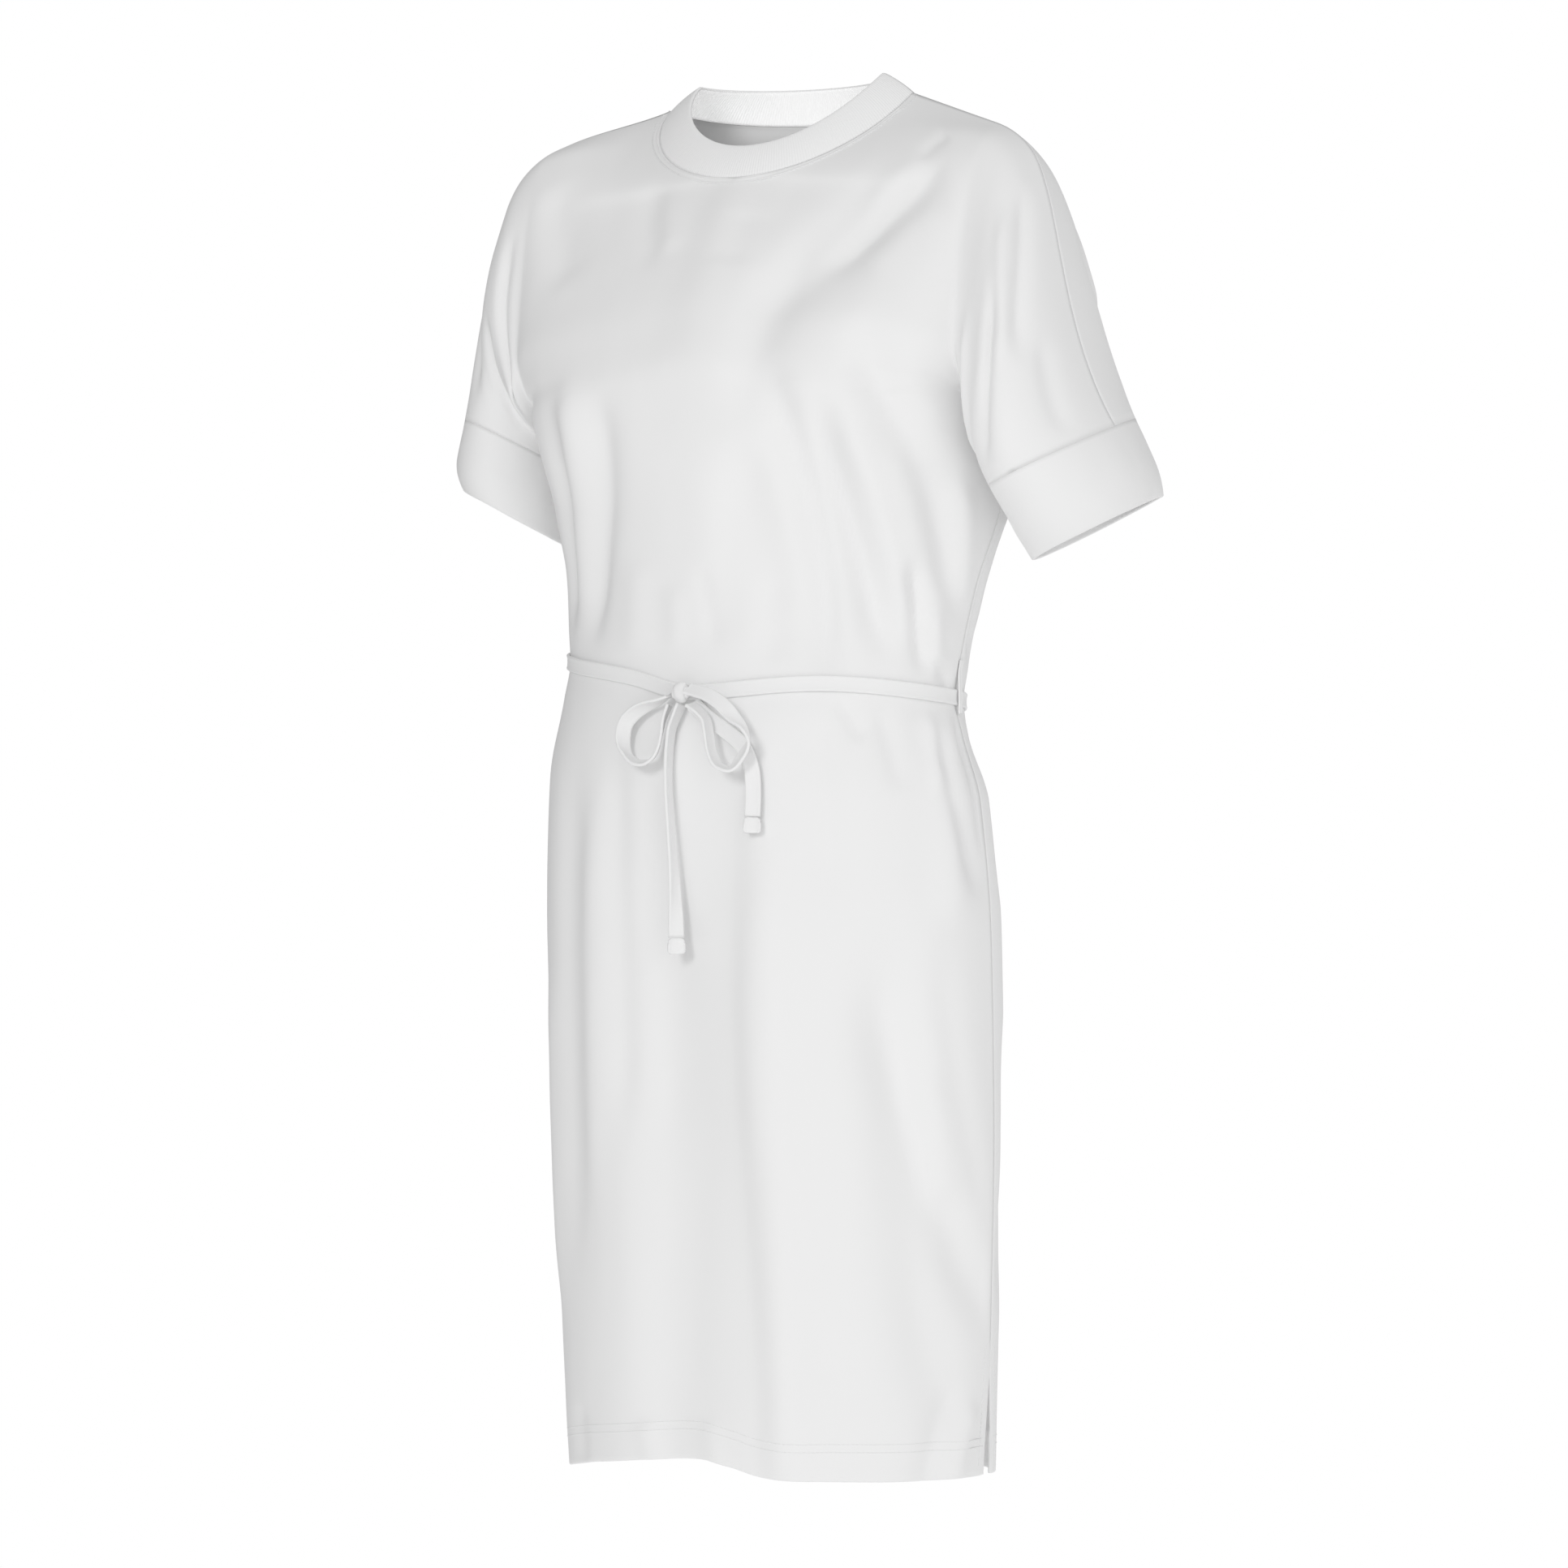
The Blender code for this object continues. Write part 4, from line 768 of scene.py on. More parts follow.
def read(table, column, at):
    """Reads one column of a table along its first column, on a smooth curve with no overshoot."""
    places = np.array([row[0] for row in table], float)
    values = np.array([getattr(row, column) for row in table], float)
    steps = np.diff(places)
    slopes = np.diff(values) / steps
    before, after = slopes[:-1], slopes[1:]
    weigh_before = steps[:-1] + 2 * steps[1:]
    weigh_after = 2 * steps[:-1] + steps[1:]
    same_way = before * after > 0
    inner = np.zeros(len(before))
    inner[same_way] = (weigh_before + weigh_after)[same_way] / (
        weigh_before[same_way] / before[same_way] + weigh_after[same_way] / after[same_way]
    )
    tangents = np.concatenate([[slopes[0]], inner, [slopes[-1]]])
    at = np.clip(np.asarray(at, float), places[0], places[-1])
    cell = np.clip(np.searchsorted(places, at, side="right") - 1, 0, len(steps) - 1)
    step = steps[cell]
    t = (at - places[cell]) / step
    return (
        values[cell] * (1 + 2 * t) * (1 - t) ** 2
        + tangents[cell] * step * t * (1 - t) ** 2
        + values[cell + 1] * t**2 * (3 - 2 * t)
        - tangents[cell + 1] * step * t**2 * (1 - t)
    )


def ease(t):
    t = np.clip(t, 0, 1)
    return t * t * (3 - 2 * t)


def bell(t):
    return np.exp(-np.asarray(t) ** 2)


def bezier(p0, p1, p2, p3, t):
    t = np.asarray(t, float)[..., None]
    return p0 * (1 - t) ** 3 + 3 * p1 * t * (1 - t) ** 2 + 3 * p2 * t**2 * (1 - t) + p3 * t**3


def unit(vector):
    vector = np.asarray(vector, float)
    return vector / np.maximum(np.linalg.norm(vector, axis=-1, keepdims=True), 1e-12)


def neckline(panel, share):
    """The seam of panel and neck band, from the high shoulder point (0) to the centre line (1)."""
    front = panel == "front"
    angle = share * math.pi / 2
    reach = -NECK_FRONT_REACH if front else NECK_BACK_REACH
    drop = NECK_FRONT_DROP if front else NECK_BACK_DROP
    dip = drop * math.sin(angle) ** NECK_DIP_POWER
    return np.array([NECK_HALF_WIDTH * math.cos(angle), reach * math.sin(angle), -dip])


def centre_point(panel, level):
    """Where a panel's row ends: on the neckline, or on the centre line under it."""
    neck_level = NECK_LEVEL[panel]
    if level <= neck_level:
        return neckline(panel, level / neck_level)
    top = NECK_FRONT_DROP if panel == "front" else NECK_BACK_DROP
    low = UNDERARM_DROP - CHEST_RISE
    if level <= UNDERARM_LEVEL:
        drop = top + (low - top) * (level - neck_level) / (UNDERARM_LEVEL - neck_level)
    elif level <= CHEST_LEVEL:
        drop = low + (CHEST_DROP - low) * (level - UNDERARM_LEVEL)
    else:
        drop = level_drop(level)
    return np.array([0.0, centre_place(panel, drop), -drop])


def centre_place(panel, drop):
    """How far forwards or back the centre line lies."""
    if panel == "front":
        return float(read(RINGS, "front", drop))
    at_neck = NECK_BACK_REACH
    blend = ease((drop - NECK_BACK_DROP) / (RINGS[1].drop - NECK_BACK_DROP))
    return float(at_neck + (read(RINGS, "back", drop) - at_neck) * blend)


def level_drop(level):
    return CHEST_DROP + (level - CHEST_LEVEL) * (LENGTH - CHEST_DROP)


def drop_level(drop):
    return CHEST_LEVEL + (drop - CHEST_DROP) / (LENGTH - CHEST_DROP)


def side_point(panel, level):
    """Where a row of the wearer's left half starts: on the armhole fold or on the side seam."""
    if level <= UNDERARM_LEVEL:
        place = read(ARMHOLE, panel, level)
        return np.array([read(ARMHOLE, "out", level), place, -read(ARMHOLE, "drop", level)])
    if level <= CHEST_LEVEL:
        drop = UNDERARM_DROP + (CHEST_DROP - UNDERARM_DROP) * (level - UNDERARM_LEVEL)
    else:
        drop = level_drop(level)
    return np.array([read(RINGS, "half_width", drop), read(RINGS, "side", drop), -drop])


def pulls(panel, level):
    """How squarely a row rounds: straight at the shoulder, square at the underarm, then an oval."""
    if level <= UNDERARM_LEVEL:
        share = ease(level / UNDERARM_LEVEL)
        side = STRAIGHT_PULL + (UNDERARM_SIDE_PULL - STRAIGHT_PULL) * share
        centre = STRAIGHT_PULL + (UNDERARM_CENTRE_PULL - STRAIGHT_PULL) * share
        return side, centre
    share = ease((level - UNDERARM_LEVEL) / (SQUARE_END_LEVEL - UNDERARM_LEVEL))
    side = UNDERARM_SIDE_PULL + (SIDE_PULL[panel] - UNDERARM_SIDE_PULL) * share
    centre = UNDERARM_CENTRE_PULL + (CENTRE_PULL[panel] - UNDERARM_CENTRE_PULL) * share
    return side, centre


def body_row(panel, level, shares):
    """One row of the wearer's left half, from the side (share 0) to the centre (share 1)."""
    forward = FORWARD[panel]
    start = side_point(panel, level)
    end = centre_point(panel, level)
    across = abs(start[0] - end[0])
    deep = abs(end[1] - start[1])
    turn = math.radians(90)
    if level < UNDERARM_LEVEL:
        turn = math.radians(read(ARMHOLE, "turn_" + panel, level))
    side_pull, centre_pull = pulls(panel, level)
    leave = min(deep / max(math.sin(turn), LEAST_TURN), across)
    turned = across - leave * math.cos(turn)
    rise = end[2] - start[2]
    near_side = start + side_pull * np.array(
        [-math.cos(turn) * leave, forward * math.sin(turn) * leave, rise]
    )
    neck = 1 - ease(level / NECK_LEVEL[panel])
    turned += (across - turned) * neck
    slant = (end[1] - start[1]) * neck
    near_centre = end + centre_pull * np.array([turned, -slant, -rise])
    return bezier(start, near_side, near_centre, end, shares)


def fold_depth(panel, across, drop):
    """How far the cloth is pushed out by the largest folds over a place on a panel."""
    depth = np.zeros(np.shape(across))
    for fold in FOLDS:
        if fold.panel != panel:
            continue
        run = np.array([fold.to_across - fold.across, fold.to_drop - fold.drop])
        length = np.hypot(*run)
        along = ((across - fold.across) * run[0] + (drop - fold.drop) * run[1]) / length**2
        aside = ((across - fold.across) * run[1] - (drop - fold.drop) * run[0]) / length
        aside = aside - 4 * fold.bend * np.clip(along, 0, 1) * (1 - np.clip(along, 0, 1))
        half = np.where(aside < 0, fold.low, fold.high)
        fade = ease(along / FOLD_FADE) * ease((1 - along) / FOLD_FADE)
        depth = depth + fold.depth * bell(aside / half) * fade
    return depth


def crease_depth(crease, across, drop):
    """How far one fine crease moves each place, by its distance from the crease's curve."""
    run = smooth_run(crease.run, CREASE_STEPS)
    ends = np.diff(run, axis=0)
    lengths = np.linalg.norm(ends, axis=1)
    starts = np.concatenate([[0], np.cumsum(lengths)])
    place = np.stack([across, drop], axis=-1)
    best = np.full(across.shape, np.inf)
    aside = np.zeros(across.shape)
    along = np.zeros(across.shape)
    for point, way, length, start in zip(run, ends, lengths, starts):
        away = place - point
        share = np.clip((away @ way) / length**2, 0, 1)
        gap = np.linalg.norm(away - share[..., None] * way, axis=-1)
        nearer = gap < best
        best = np.where(nearer, gap, best)
        cross = away[..., 0] * way[1] - away[..., 1] * way[0]
        aside = np.where(nearer, np.sign(cross) * gap, aside)
        along = np.where(nearer, (start + share * length) / starts[-1], along)
    half = np.where(aside < 0, crease.low, crease.high)
    shape = np.exp(-(np.abs(aside / half) ** (2 - crease.crisp)))
    fade = ease(along / CREASE_FADE) * ease((1 - along) / CREASE_FADE)
    return crease.depth * shape * fade


def row_rise(points):
    """Lifts the rows near the waist so that they run along the belt, and those near the hem."""
    degrees = np.degrees(np.arctan2(points[..., 0], -(points[..., 1] - RINGS[BELT_RING].side)))
    near = bell((points[..., 2] + BELT_DROP) / BELT_LINE_REACH)
    near_hem = bell((points[..., 2] + LENGTH) / HEM_LINE_REACH)
    return read(BELT_LINE, "rise", degrees) * near + read(HEM_LINE, "rise", degrees) * near_hem


def shoulder_lift(cuff, points, level):
    """How much a raised shoulder lifts the rows above the underarm, most at the armhole."""
    outwards = ease((np.abs(points[..., 0]) - NECK_HALF_WIDTH) / (SHOULDER_OUT - NECK_HALF_WIDTH))
    return cuff.lift * outwards * ease(1 - level / UNDERARM_LEVEL)


def slit_parting(drop):
    """How far each panel draws back from its side slit."""
    return ease((drop - (LENGTH - SLIT_LENGTH)) / SLIT_LENGTH) * SLIT_PARTING / 2


def sleeve_axes(cuff):
    """The way a cuff opens, and the outward and the forward direction in its edge."""
    facing = unit((cuff.side * CUFF_OPENS_OUT, cuff.opens_back, -CUFF_OPENS_DOWN))
    sideways = np.array([cuff.side, 0.0, 0.0])
    outward = unit(sideways - np.dot(sideways, facing) * facing)
    forward = np.cross(facing, outward) * cuff.side
    return facing, outward, forward


def cuff_point(cuff, panel, level, depth_share):
    """A point of the cuff: depth_share 0 is its seam with the sleeve and 1 is its edge."""
    facing, outward, forward = sleeve_axes(cuff)
    edge = np.array([cuff.side * cuff.out, cuff.back, -cuff.drop])
    seam = edge - CUFF_DEPTH * facing
    seam[:2] = cuff.side * cuff.seam_out, cuff.seam_back
    angle = math.pi * level
    curled = max(depth_share - CUFF_CURL_FROM, 0) / (1 - CUFF_CURL_FROM)
    curl = cuff.curl * curled**2 * (0.6 + 0.4 * math.cos(angle))
    centre = seam + (edge - seam) * depth_share - facing * curl / 2
    half_out = cuff.half_out + (CUFF_HALF_OUT - cuff.half_out) * depth_share - curl
    half_deep = cuff.half_deep + (CUFF_HALF_DEEP - cuff.half_deep) * depth_share - curl
    to_front = -FORWARD[panel] * math.sin(angle)
    return centre + half_out * math.cos(angle) * outward + half_deep * to_front * forward


def sleeve_run(panel, cuff, level, shares):
    """The cloth from the armhole fold (share 0) to the cuff seam (share 1) at one level round it."""
    mirror = np.array([cuff.side, 1, 1])
    start = side_point(panel, level) * mirror
    end = cuff_point(cuff, panel, level, 0)
    into_cuff = unit(cuff_point(cuff, panel, level, CUFF_CURL_FROM) - end)
    forward = FORWARD[panel]
    leave = np.array(
        [
            read(SLEEVE_START, "out", level),
            forward * read(SLEEVE_START, "forward", level),
            -read(SLEEVE_START, "down", level),
        ]
    )
    run_in = read(SLEEVE_START, "run_in", level)
    return bezier(start, start + leave * mirror, end - into_cuff * run_in, end, shares)


def smooth_run(points, steps):
    """Points evenly along a smooth curve through the given ones."""
    points = np.asarray(points, float)
    gaps = np.linalg.norm(np.diff(points, axis=0), axis=1)
    knots = distances(points)
    slopes = np.gradient(points, knots, axis=0)
    at = np.linspace(0, knots[-1], steps + 1)
    cell = np.clip(np.searchsorted(knots, at, side="right") - 1, 0, len(gaps) - 1)
    step = gaps[cell][:, None]
    t = ((at - knots[cell]) / gaps[cell])[:, None]
    return (
        points[cell] * (1 + 2 * t) * (1 - t) ** 2
        + slopes[cell] * step * t * (1 - t) ** 2
        + points[cell + 1] * t**2 * (3 - 2 * t)
        - slopes[cell + 1] * step * t**2 * (1 - t)
    )


def distances(points):
    """How far along a line each of its points is."""
    steps = np.linalg.norm(np.diff(points, axis=0), axis=1)
    return np.concatenate([[0], np.cumsum(steps)])


def girth(row):
    """How far each point of a row is from the centre line, along the cloth."""
    return (abs(row[-1][0]) + distances(row[::-1]))[::-1]


# Sheets of cloth as arrays


def grid_quads(index, flipped):
    """The faces of a grid of point numbers."""
    a, b = index[:-1, :-1].ravel(), index[:-1, 1:].ravel()
    c, d = index[1:, 1:].ravel(), index[1:, :-1].ravel()
    quads = np.stack([a, b, c, d], axis=1)
    return quads[:, ::-1] if flipped else quads


def face_normals(points, quads):
    corners = points[quads]
    return np.cross(corners[:, 2] - corners[:, 0], corners[:, 3] - corners[:, 1])


def point_normals(points, quads):
    """The way out at each point, weighed by the area of the faces round it."""
    normals = face_normals(points, quads)
    total = np.zeros_like(points)
    for corner in range(4):
        for axis in range(3):
            total[:, axis] += np.bincount(quads[:, corner], normals[:, axis], len(points))
    return unit(total)


def rim_edges(quads):
    """The edges that only one face has, in that face's own direction."""
    edges = np.concatenate([quads[:, [k, (k + 1) % 4]] for k in range(4)])
    edges = edges[edges[:, 0] != edges[:, 1]]
    pairs = np.sort(edges, axis=1)
    _, which, counts = np.unique(pairs, axis=0, return_inverse=True, return_counts=True)
    return edges[counts[which.ravel()] == 1]


def relax(points, quads, weight, steps):
    """Moves points towards their neighbours, or away where a step is below 0. A point on a rim
    moves along the rim alone.
    """
    edges = np.concatenate([quads[:, [k, (k + 1) % 4]] for k in range(4)])
    rim = rim_edges(quads)
    on_rim = np.zeros(len(points), bool)
    on_rim[rim.ravel()] = True
    inner = edges[~on_rim[edges[:, 0]]]
    pairs = np.concatenate([inner, edges[~on_rim[edges[:, 1]]][:, ::-1], rim, rim[:, ::-1]])
    count = np.maximum(np.bincount(pairs[:, 0], minlength=len(points)), 1)
    for step in steps:
        sums = [np.bincount(pairs[:, 0], points[pairs[:, 1], axis], len(points)) for axis in range(3)]
        mean = np.stack(sums, axis=1) / count[:, None]
        points = points + (mean - points) * step * weight[:, None]
    return points


def strays(across, drop, seed):
    """The small unevenness of hung cloth: broad and upright first, then finer."""
    waves = []
    for (wide, high), place in ((BROAD_STRAY, seed), (FINE_STRAY, seed + FINE_STRAY_SEED)):
        wave = [noise.noise(Vector((a / wide, d / high, place))) for a, d in zip(across, drop)]
        waves.append(np.array(wave))
    return waves[0] + FINE_STRAY_SHARE * waves[1]


def panel_levels(panel):
    """The levels of a panel's rows, with exact rows at the neck's end and at both belt edges."""
    arm = np.linspace(0, UNDERARM_LEVEL, ARM_ROWS)
    side = np.linspace(UNDERARM_LEVEL, CHEST_LEVEL, SIDE_ROWS)
    skirt = drop_level(np.arange(CHEST_DROP, LENGTH + SKIRT_STEP / 2, SKIRT_STEP))
    skirt[-1] = HEM_LEVEL
    belt = [drop_level(BELT_DROP + edge * BELT_WIDTH / 2) for edge in (-1, 0, 1)]
    levels = np.concatenate([arm, side[1:], skirt[1:]])
    for exact in (NECK_LEVEL[panel], *belt):
        levels[np.argmin(np.abs(levels - exact))] = exact
    return levels


def body_rows(panel, cuff, levels, shares):
    """The rows of one half of the body, each from the side to the centre."""
    rows = []
    for level in levels:
        row = body_row(panel, level, shares) * (cuff.side, 1, 1)
        row[:, 2] += row_rise(row) + shoulder_lift(cuff, row, level)
        if level >= UNDERARM_LEVEL:
            row[:, 1] += FORWARD[panel] * slit_parting(-row[:, 2]) * (1 - ease(SLIT_REACH * shares))
        rows.append(row)
    return np.array(rows)


def sleeve_rows(panel, cuff, levels, columns):
    """The rows of one half sleeve, each from the armhole fold to the cuff."""
    rows = []
    for level in levels:
        row = sleeve_run(panel, cuff, level, columns)
        row[:, 2] += row_rise(row) * (1 - ease(columns))
        row[:, 2] += shoulder_lift(cuff, row, level) * (1 - ease(columns))
        rows.append(row)
    return np.array(rows)


Chunk = namedtuple("Chunk", "kind cuff grid across")


def panel_chunks(panel, levels, shares, columns):
    """The two half bodies and the two half sleeves. across is each point's way along the cloth
    from the centre line.
    """
    chunks = []
    for cuff in CUFFS:
        body = body_rows(panel, cuff, levels, shares)
        across = np.array([girth(row) for row in body])
        chunks.append(Chunk("body", cuff, body, across))
        sleeve = sleeve_rows(panel, cuff, levels[levels <= UNDERARM_LEVEL], columns)
        along = np.array([distances(row) for row in sleeve])
        chunks.append(Chunk("sleeve", cuff, sleeve, across[: len(sleeve), :1] + along))
    return chunks


def fold_settling(levels, gap):
    """How far a point settles towards its neighbours: fully at the shoulder's fold, less below."""
    near = 1 - SETTLE_LOSS * ease((levels - SETTLE_LOSS_FROM) / SETTLE_LOSS_OVER)
    near *= ease((SETTLE_END - levels) / SETTLE_END_OVER)
    return near[:, None] * bell(gap / SETTLE_REACH)


def evening(kind, levels, gap):
    """How far a point is smoothed in place: all of the upper body, and the sleeve near its fold."""
    evened = ease((EVEN_END - levels) / EVEN_END_OVER)[:, None] * np.ones(gap.shape)
    return evened * ease(1 - gap / EVEN_REACH) if kind == "sleeve" else evened


def sleeve_depth(cuff, panel, levels, columns):
    """How far the sleeve's own creases move each of its points."""
    shape = (len(levels), len(columns))
    around = levels[:, None] * ARM_HALF_ROUND * np.ones(shape)
    along = columns[None, :] * ARM_RUN * np.ones(shape)
    depth = np.zeros(shape)
    for crease in SLEEVE_CREASES:
        if (crease.cuff, crease.panel) == (cuff.name, panel):
            run = tuple((level * ARM_HALF_ROUND, step * ARM_RUN) for level, step in crease.run)
            depth += crease_depth(crease._replace(run=run), around, along)
    return depth * ease(columns / SLEEVE_START_FADE)[None, :]


Surface = namedtuple("Surface", "points normals quads place edges grids")


@functools.lru_cache(maxsize=None)
def panel_surface(panel):
    """The outer face of a panel with its half sleeves, creased. place is each point on the flat
    cloth, edges its distances from the neck seam, the hem and the side seam, and grids the
    numbers of each half body's points, row by row.
    """
    levels = panel_levels(panel)
    shares = np.linspace(0, 1, BODY_COLUMNS + 1)
    columns = np.linspace(0, 1, SLEEVE_COLUMNS + 1)
    chunks = panel_chunks(panel, levels, shares, columns)
    points = np.concatenate([chunk.grid.reshape(-1, 3) for chunk in chunks])
    _, first, number = np.unique(np.round(points, 6), axis=0, return_index=True, return_inverse=True)
    points = points[first]
    number = number.ravel()
    quads = []
    grids = {}
    place = np.zeros((len(points), 2))
    settle, even, body_share, joined, crease = np.zeros((5, len(points)))
    edges = np.full((len(points), 3), FAR)
    start = 0
    for kind, cuff, grid, across in chunks:
        index = number[start : start + across.size].reshape(across.shape)
        start += index.size
        faces = grid_quads(index, False)
        if (face_normals(points, faces).sum(axis=0))[1] * FORWARD[panel] < 0:
            faces = faces[:, ::-1]
        quads.append(faces)
        rows = levels[: len(index)]
        gap = np.abs(across - across[:, :1])
        settle[index] = np.maximum(settle[index], fold_settling(rows, gap))
        even[index] = np.maximum(even[index], evening(kind, rows, gap))
        if kind == "body":
            grids[cuff.name] = index
            place[index] = np.stack([cuff.side * across, -grid[..., 2]], axis=-1)
            beside_seam = rows[:, None] >= UNDERARM_LEVEL
            seam = across.max(axis=1)[:, None] - across
            slit = ease((-grid[..., 2] - (LENGTH - SLIT_LENGTH)) / SLIT_FADE)
            at_shoulder = ease(rows / SHOULDER_SEAM_FADE)[:, None]
            body_share[index] = np.where(beside_seam, 1.0, ease(shares / ARMHOLE_FADE)[None, :])
            joined[index] = np.where(beside_seam, np.maximum(ease(seam / SEAM_FADE), slit), at_shoulder)
            edges[index, 2] = np.where(beside_seam, seam, FAR)
            edges[index, 1] = ((HEM_LEVEL - rows) * (LENGTH - CHEST_DROP))[:, None] * np.ones(seam.shape)
        else:
            fresh = index[:, 1:]
            down = -grid[:, :1, 2] * np.ones(across.shape)
            place[fresh] = np.stack([cuff.side * across, down], axis=-1)[:, 1:]
            crease[index] = sleeve_depth(cuff, panel, rows, columns)
            free = ease(rows / SLEEVE_TOP_FADE)[:, None] * ease((1 - rows) / SLEEVE_UNDER_FADE)[:, None]
            joined[fresh] = (free * ease((1 - columns) / SLEEVE_END_FADE)[None, :])[:, 1:]
    quads = np.concatenate(quads)
    points = relax(points, quads, settle, RELAX_STEPS)
    even[np.unique(rim_edges(quads))] = 0
    points = relax(points, quads, even, EVEN_STEPS)
    edges[:, 0] = neck_gap(panel, points)
    depth = body_share * body_depth(panel, place, edges)
    depth += stray_depth(panel, place, edges)
    depth += crease * sizes().crease_share
    points = points + point_normals(points, quads) * (depth * joined)[:, None]
    return Surface(points, point_normals(points, quads), quads, place, edges, grids)


def belt_calm(edges):
    """1 away from the belt, and less where it holds the cloth flat."""
    return 1 - BELT_HOLD * bell((edges[:, 1] - (LENGTH - BELT_DROP)) / BELT_CALM)


def body_depth(panel, place, edges):
    """How far the folds and creases of the body move each point of a panel."""
    across, drop = place.T
    depth = fold_depth(panel, across, drop)
    fine = sum(crease_depth(crease, across, drop) for crease in CREASES if crease.panel == panel)
    depth += fine * sizes().crease_share * belt_calm(edges)
    return depth * ease(edges[:, 0] / NECK_FADE)


def stray_depth(panel, place, edges):
    """The unevenness of a panel, calmed at the neck seam and under the belt."""
    uneven = strays(*place.T, STRAY_SEED[panel]) * sizes().unevenness
    return uneven * ease(edges[:, 0] / NECK_CALM) * belt_calm(edges)


def neck_gap(panel, points):
    """Each point's distance from the neck seam, as far as it matters."""
    seam = np.array([neckline(panel, share) for share in np.linspace(0, 1, 120)])
    seam = np.concatenate([seam * (-1, 1, 1), seam[::-1]])
    gap = np.full(len(points), FAR)
    close = (np.abs(points[:, 0]) < 0.16) & (points[:, 2] > -0.14)
    away = np.linalg.norm(points[close][:, None] - seam[None], axis=2)
    gap[close] = away.min(axis=1)
    return gap


def build_shell(name, surface, wall, round_rim, painted_glow, square_rim=None):
    """A closed thin shell inwards from a surface, with rounded or square edges. wall and
    round_rim have one value for each point, glow is how much painted light, emission standing in for
    light through the cloth, the inside faces get, and square_rim marks the points of sewn seams.
    """
    points, normals, quads = surface.points, surface.normals, surface.quads
    inward = normals.copy()
    if square_rim is not None:
        inward[square_rim, 1] = 0
        inward = unit(inward)
    inner = points - inward * wall[:, None]
    count = len(points)
    rim = rim_edges(quads)
    ids = np.unique(rim)
    outward = rim_directions(points, normals, rim, quads, ids)
    slot = np.full(count, -1)
    slot[ids] = np.arange(len(ids))
    stages = []
    for step in range(1, RIM_STEPS + 1):
        angle = math.pi * step / (RIM_STEPS + 1)
        middle = points[ids] + (inner[ids] - points[ids]) * (1 - math.cos(angle)) / 2
        bulge = math.sin(angle) * wall[ids] / 2 * round_rim[ids]
        stages.append(middle + outward * bulge[:, None])
    all_points = np.concatenate([points, inner, *stages])
    faces = [quads, quads[:, ::-1] + count]
    rows = [rim] + [slot[rim] + 2 * count + k * len(ids) for k in range(RIM_STEPS)] + [rim + count]
    for upper, lower in zip(rows, rows[1:]):
        faces.append(np.stack([upper[:, 1], upper[:, 0], lower[:, 0], lower[:, 1]], axis=1))
    faces = np.concatenate(faces)
    mesh = bpy.data.meshes.new(name)
    mesh.from_pydata(all_points.tolist(), [], faces.tolist())
    smooth = np.ones(len(faces), bool)
    smooth[2 * len(quads) :] = np.tile(round_rim[rim].max(axis=1) > 0, RIM_STEPS + 1)
    mesh.polygons.foreach_set("use_smooth", smooth)
    cloth = np.concatenate([surface.place, surface.place, *[surface.place[ids]] * RIM_STEPS])
    unsewn = np.full_like(surface.edges, FAR)
    sewn = np.concatenate([surface.edges, unsewn, *[surface.edges[ids]] * RIM_STEPS])
    # the inner faces carry the painted light, emission standing in for light through the cloth, in the
    # third slot of the cloth attribute
    painted_glow_share = np.zeros(len(cloth))
    painted_glow_share[count : 2 * count] = painted_glow
    add_vectors(mesh, "cloth", np.column_stack([cloth, painted_glow_share]))
    add_vectors(mesh, "sewn", sewn)
    obj = bpy.data.objects.new(name, mesh)
    bpy.context.scene.collection.objects.link(obj)
    return obj


def rim_directions(points, normals, rim, quads, ids):
    """The way off the cloth at each point of its rim, in the cloth's own surface."""
    middles = points[quads].mean(axis=1)
    total = np.zeros_like(points)
    for corner in range(4):
        for axis in range(3):
            total[:, axis] += np.bincount(quads[:, corner], middles[:, axis], len(points))
    count = np.maximum(np.bincount(quads.ravel(), minlength=len(points)), 1)
    away = points[ids] - total[ids] / count[ids][:, None]
    along = np.zeros_like(points)
    way = points[rim[:, 1]] - points[rim[:, 0]]
    for axis in range(3):
        along[:, axis] += np.bincount(rim[:, 0], way[:, axis], len(points))
        along[:, axis] += np.bincount(rim[:, 1], way[:, axis], len(points))
    side = unit(np.cross(along[ids], normals[ids]))
    side *= np.sign(np.sum(side * away, axis=1))[:, None]
    return side


def add_vectors(mesh, name, values):
    attribute = mesh.attributes.new(name, "FLOAT_VECTOR", "POINT")
    attribute.data.foreach_set("vector", np.asarray(values, np.float32).ravel())


def finish_piece(obj, material, slot, *nodes):
    """Gives a finished piece its material, and ties it to the frame."""
    obj.data.materials.append(material)
    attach(obj, "root")
    if nodes:
        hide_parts(*nodes)
    return obj


# Strips, cords and lumps


def add_smooth(name, points, faces):
    """An object with smooth faces that look outwards."""
    mesh = bpy.data.meshes.new(name)
    mesh.from_pydata([tuple(point) for point in points], [], faces)
    mesh.shade_smooth()
    obj = bpy.data.objects.new(name, mesh)
    bpy.context.scene.collection.objects.link(obj)
    turn_outwards(obj)
    return obj


# Half a belt's cross-section: its edges stand a little proud of its flat middle
Profile = namedtuple("Profile", "across thick")
BELT_PROFILE = [
    Profile(-1.00, 0.00),
    Profile(-0.98, 0.50),
    Profile(-0.90, 0.90),
    Profile(-0.78, 1.00),
    Profile(-0.64, 0.78),
    Profile(-0.42, 0.58),
    Profile(0.00, 0.55),
    Profile(0.42, 0.58),
    Profile(0.64, 0.78),
    Profile(0.78, 1.00),
    Profile(0.90, 0.90),
    Profile(0.98, 0.50),
    Profile(1.00, 0.00),
]


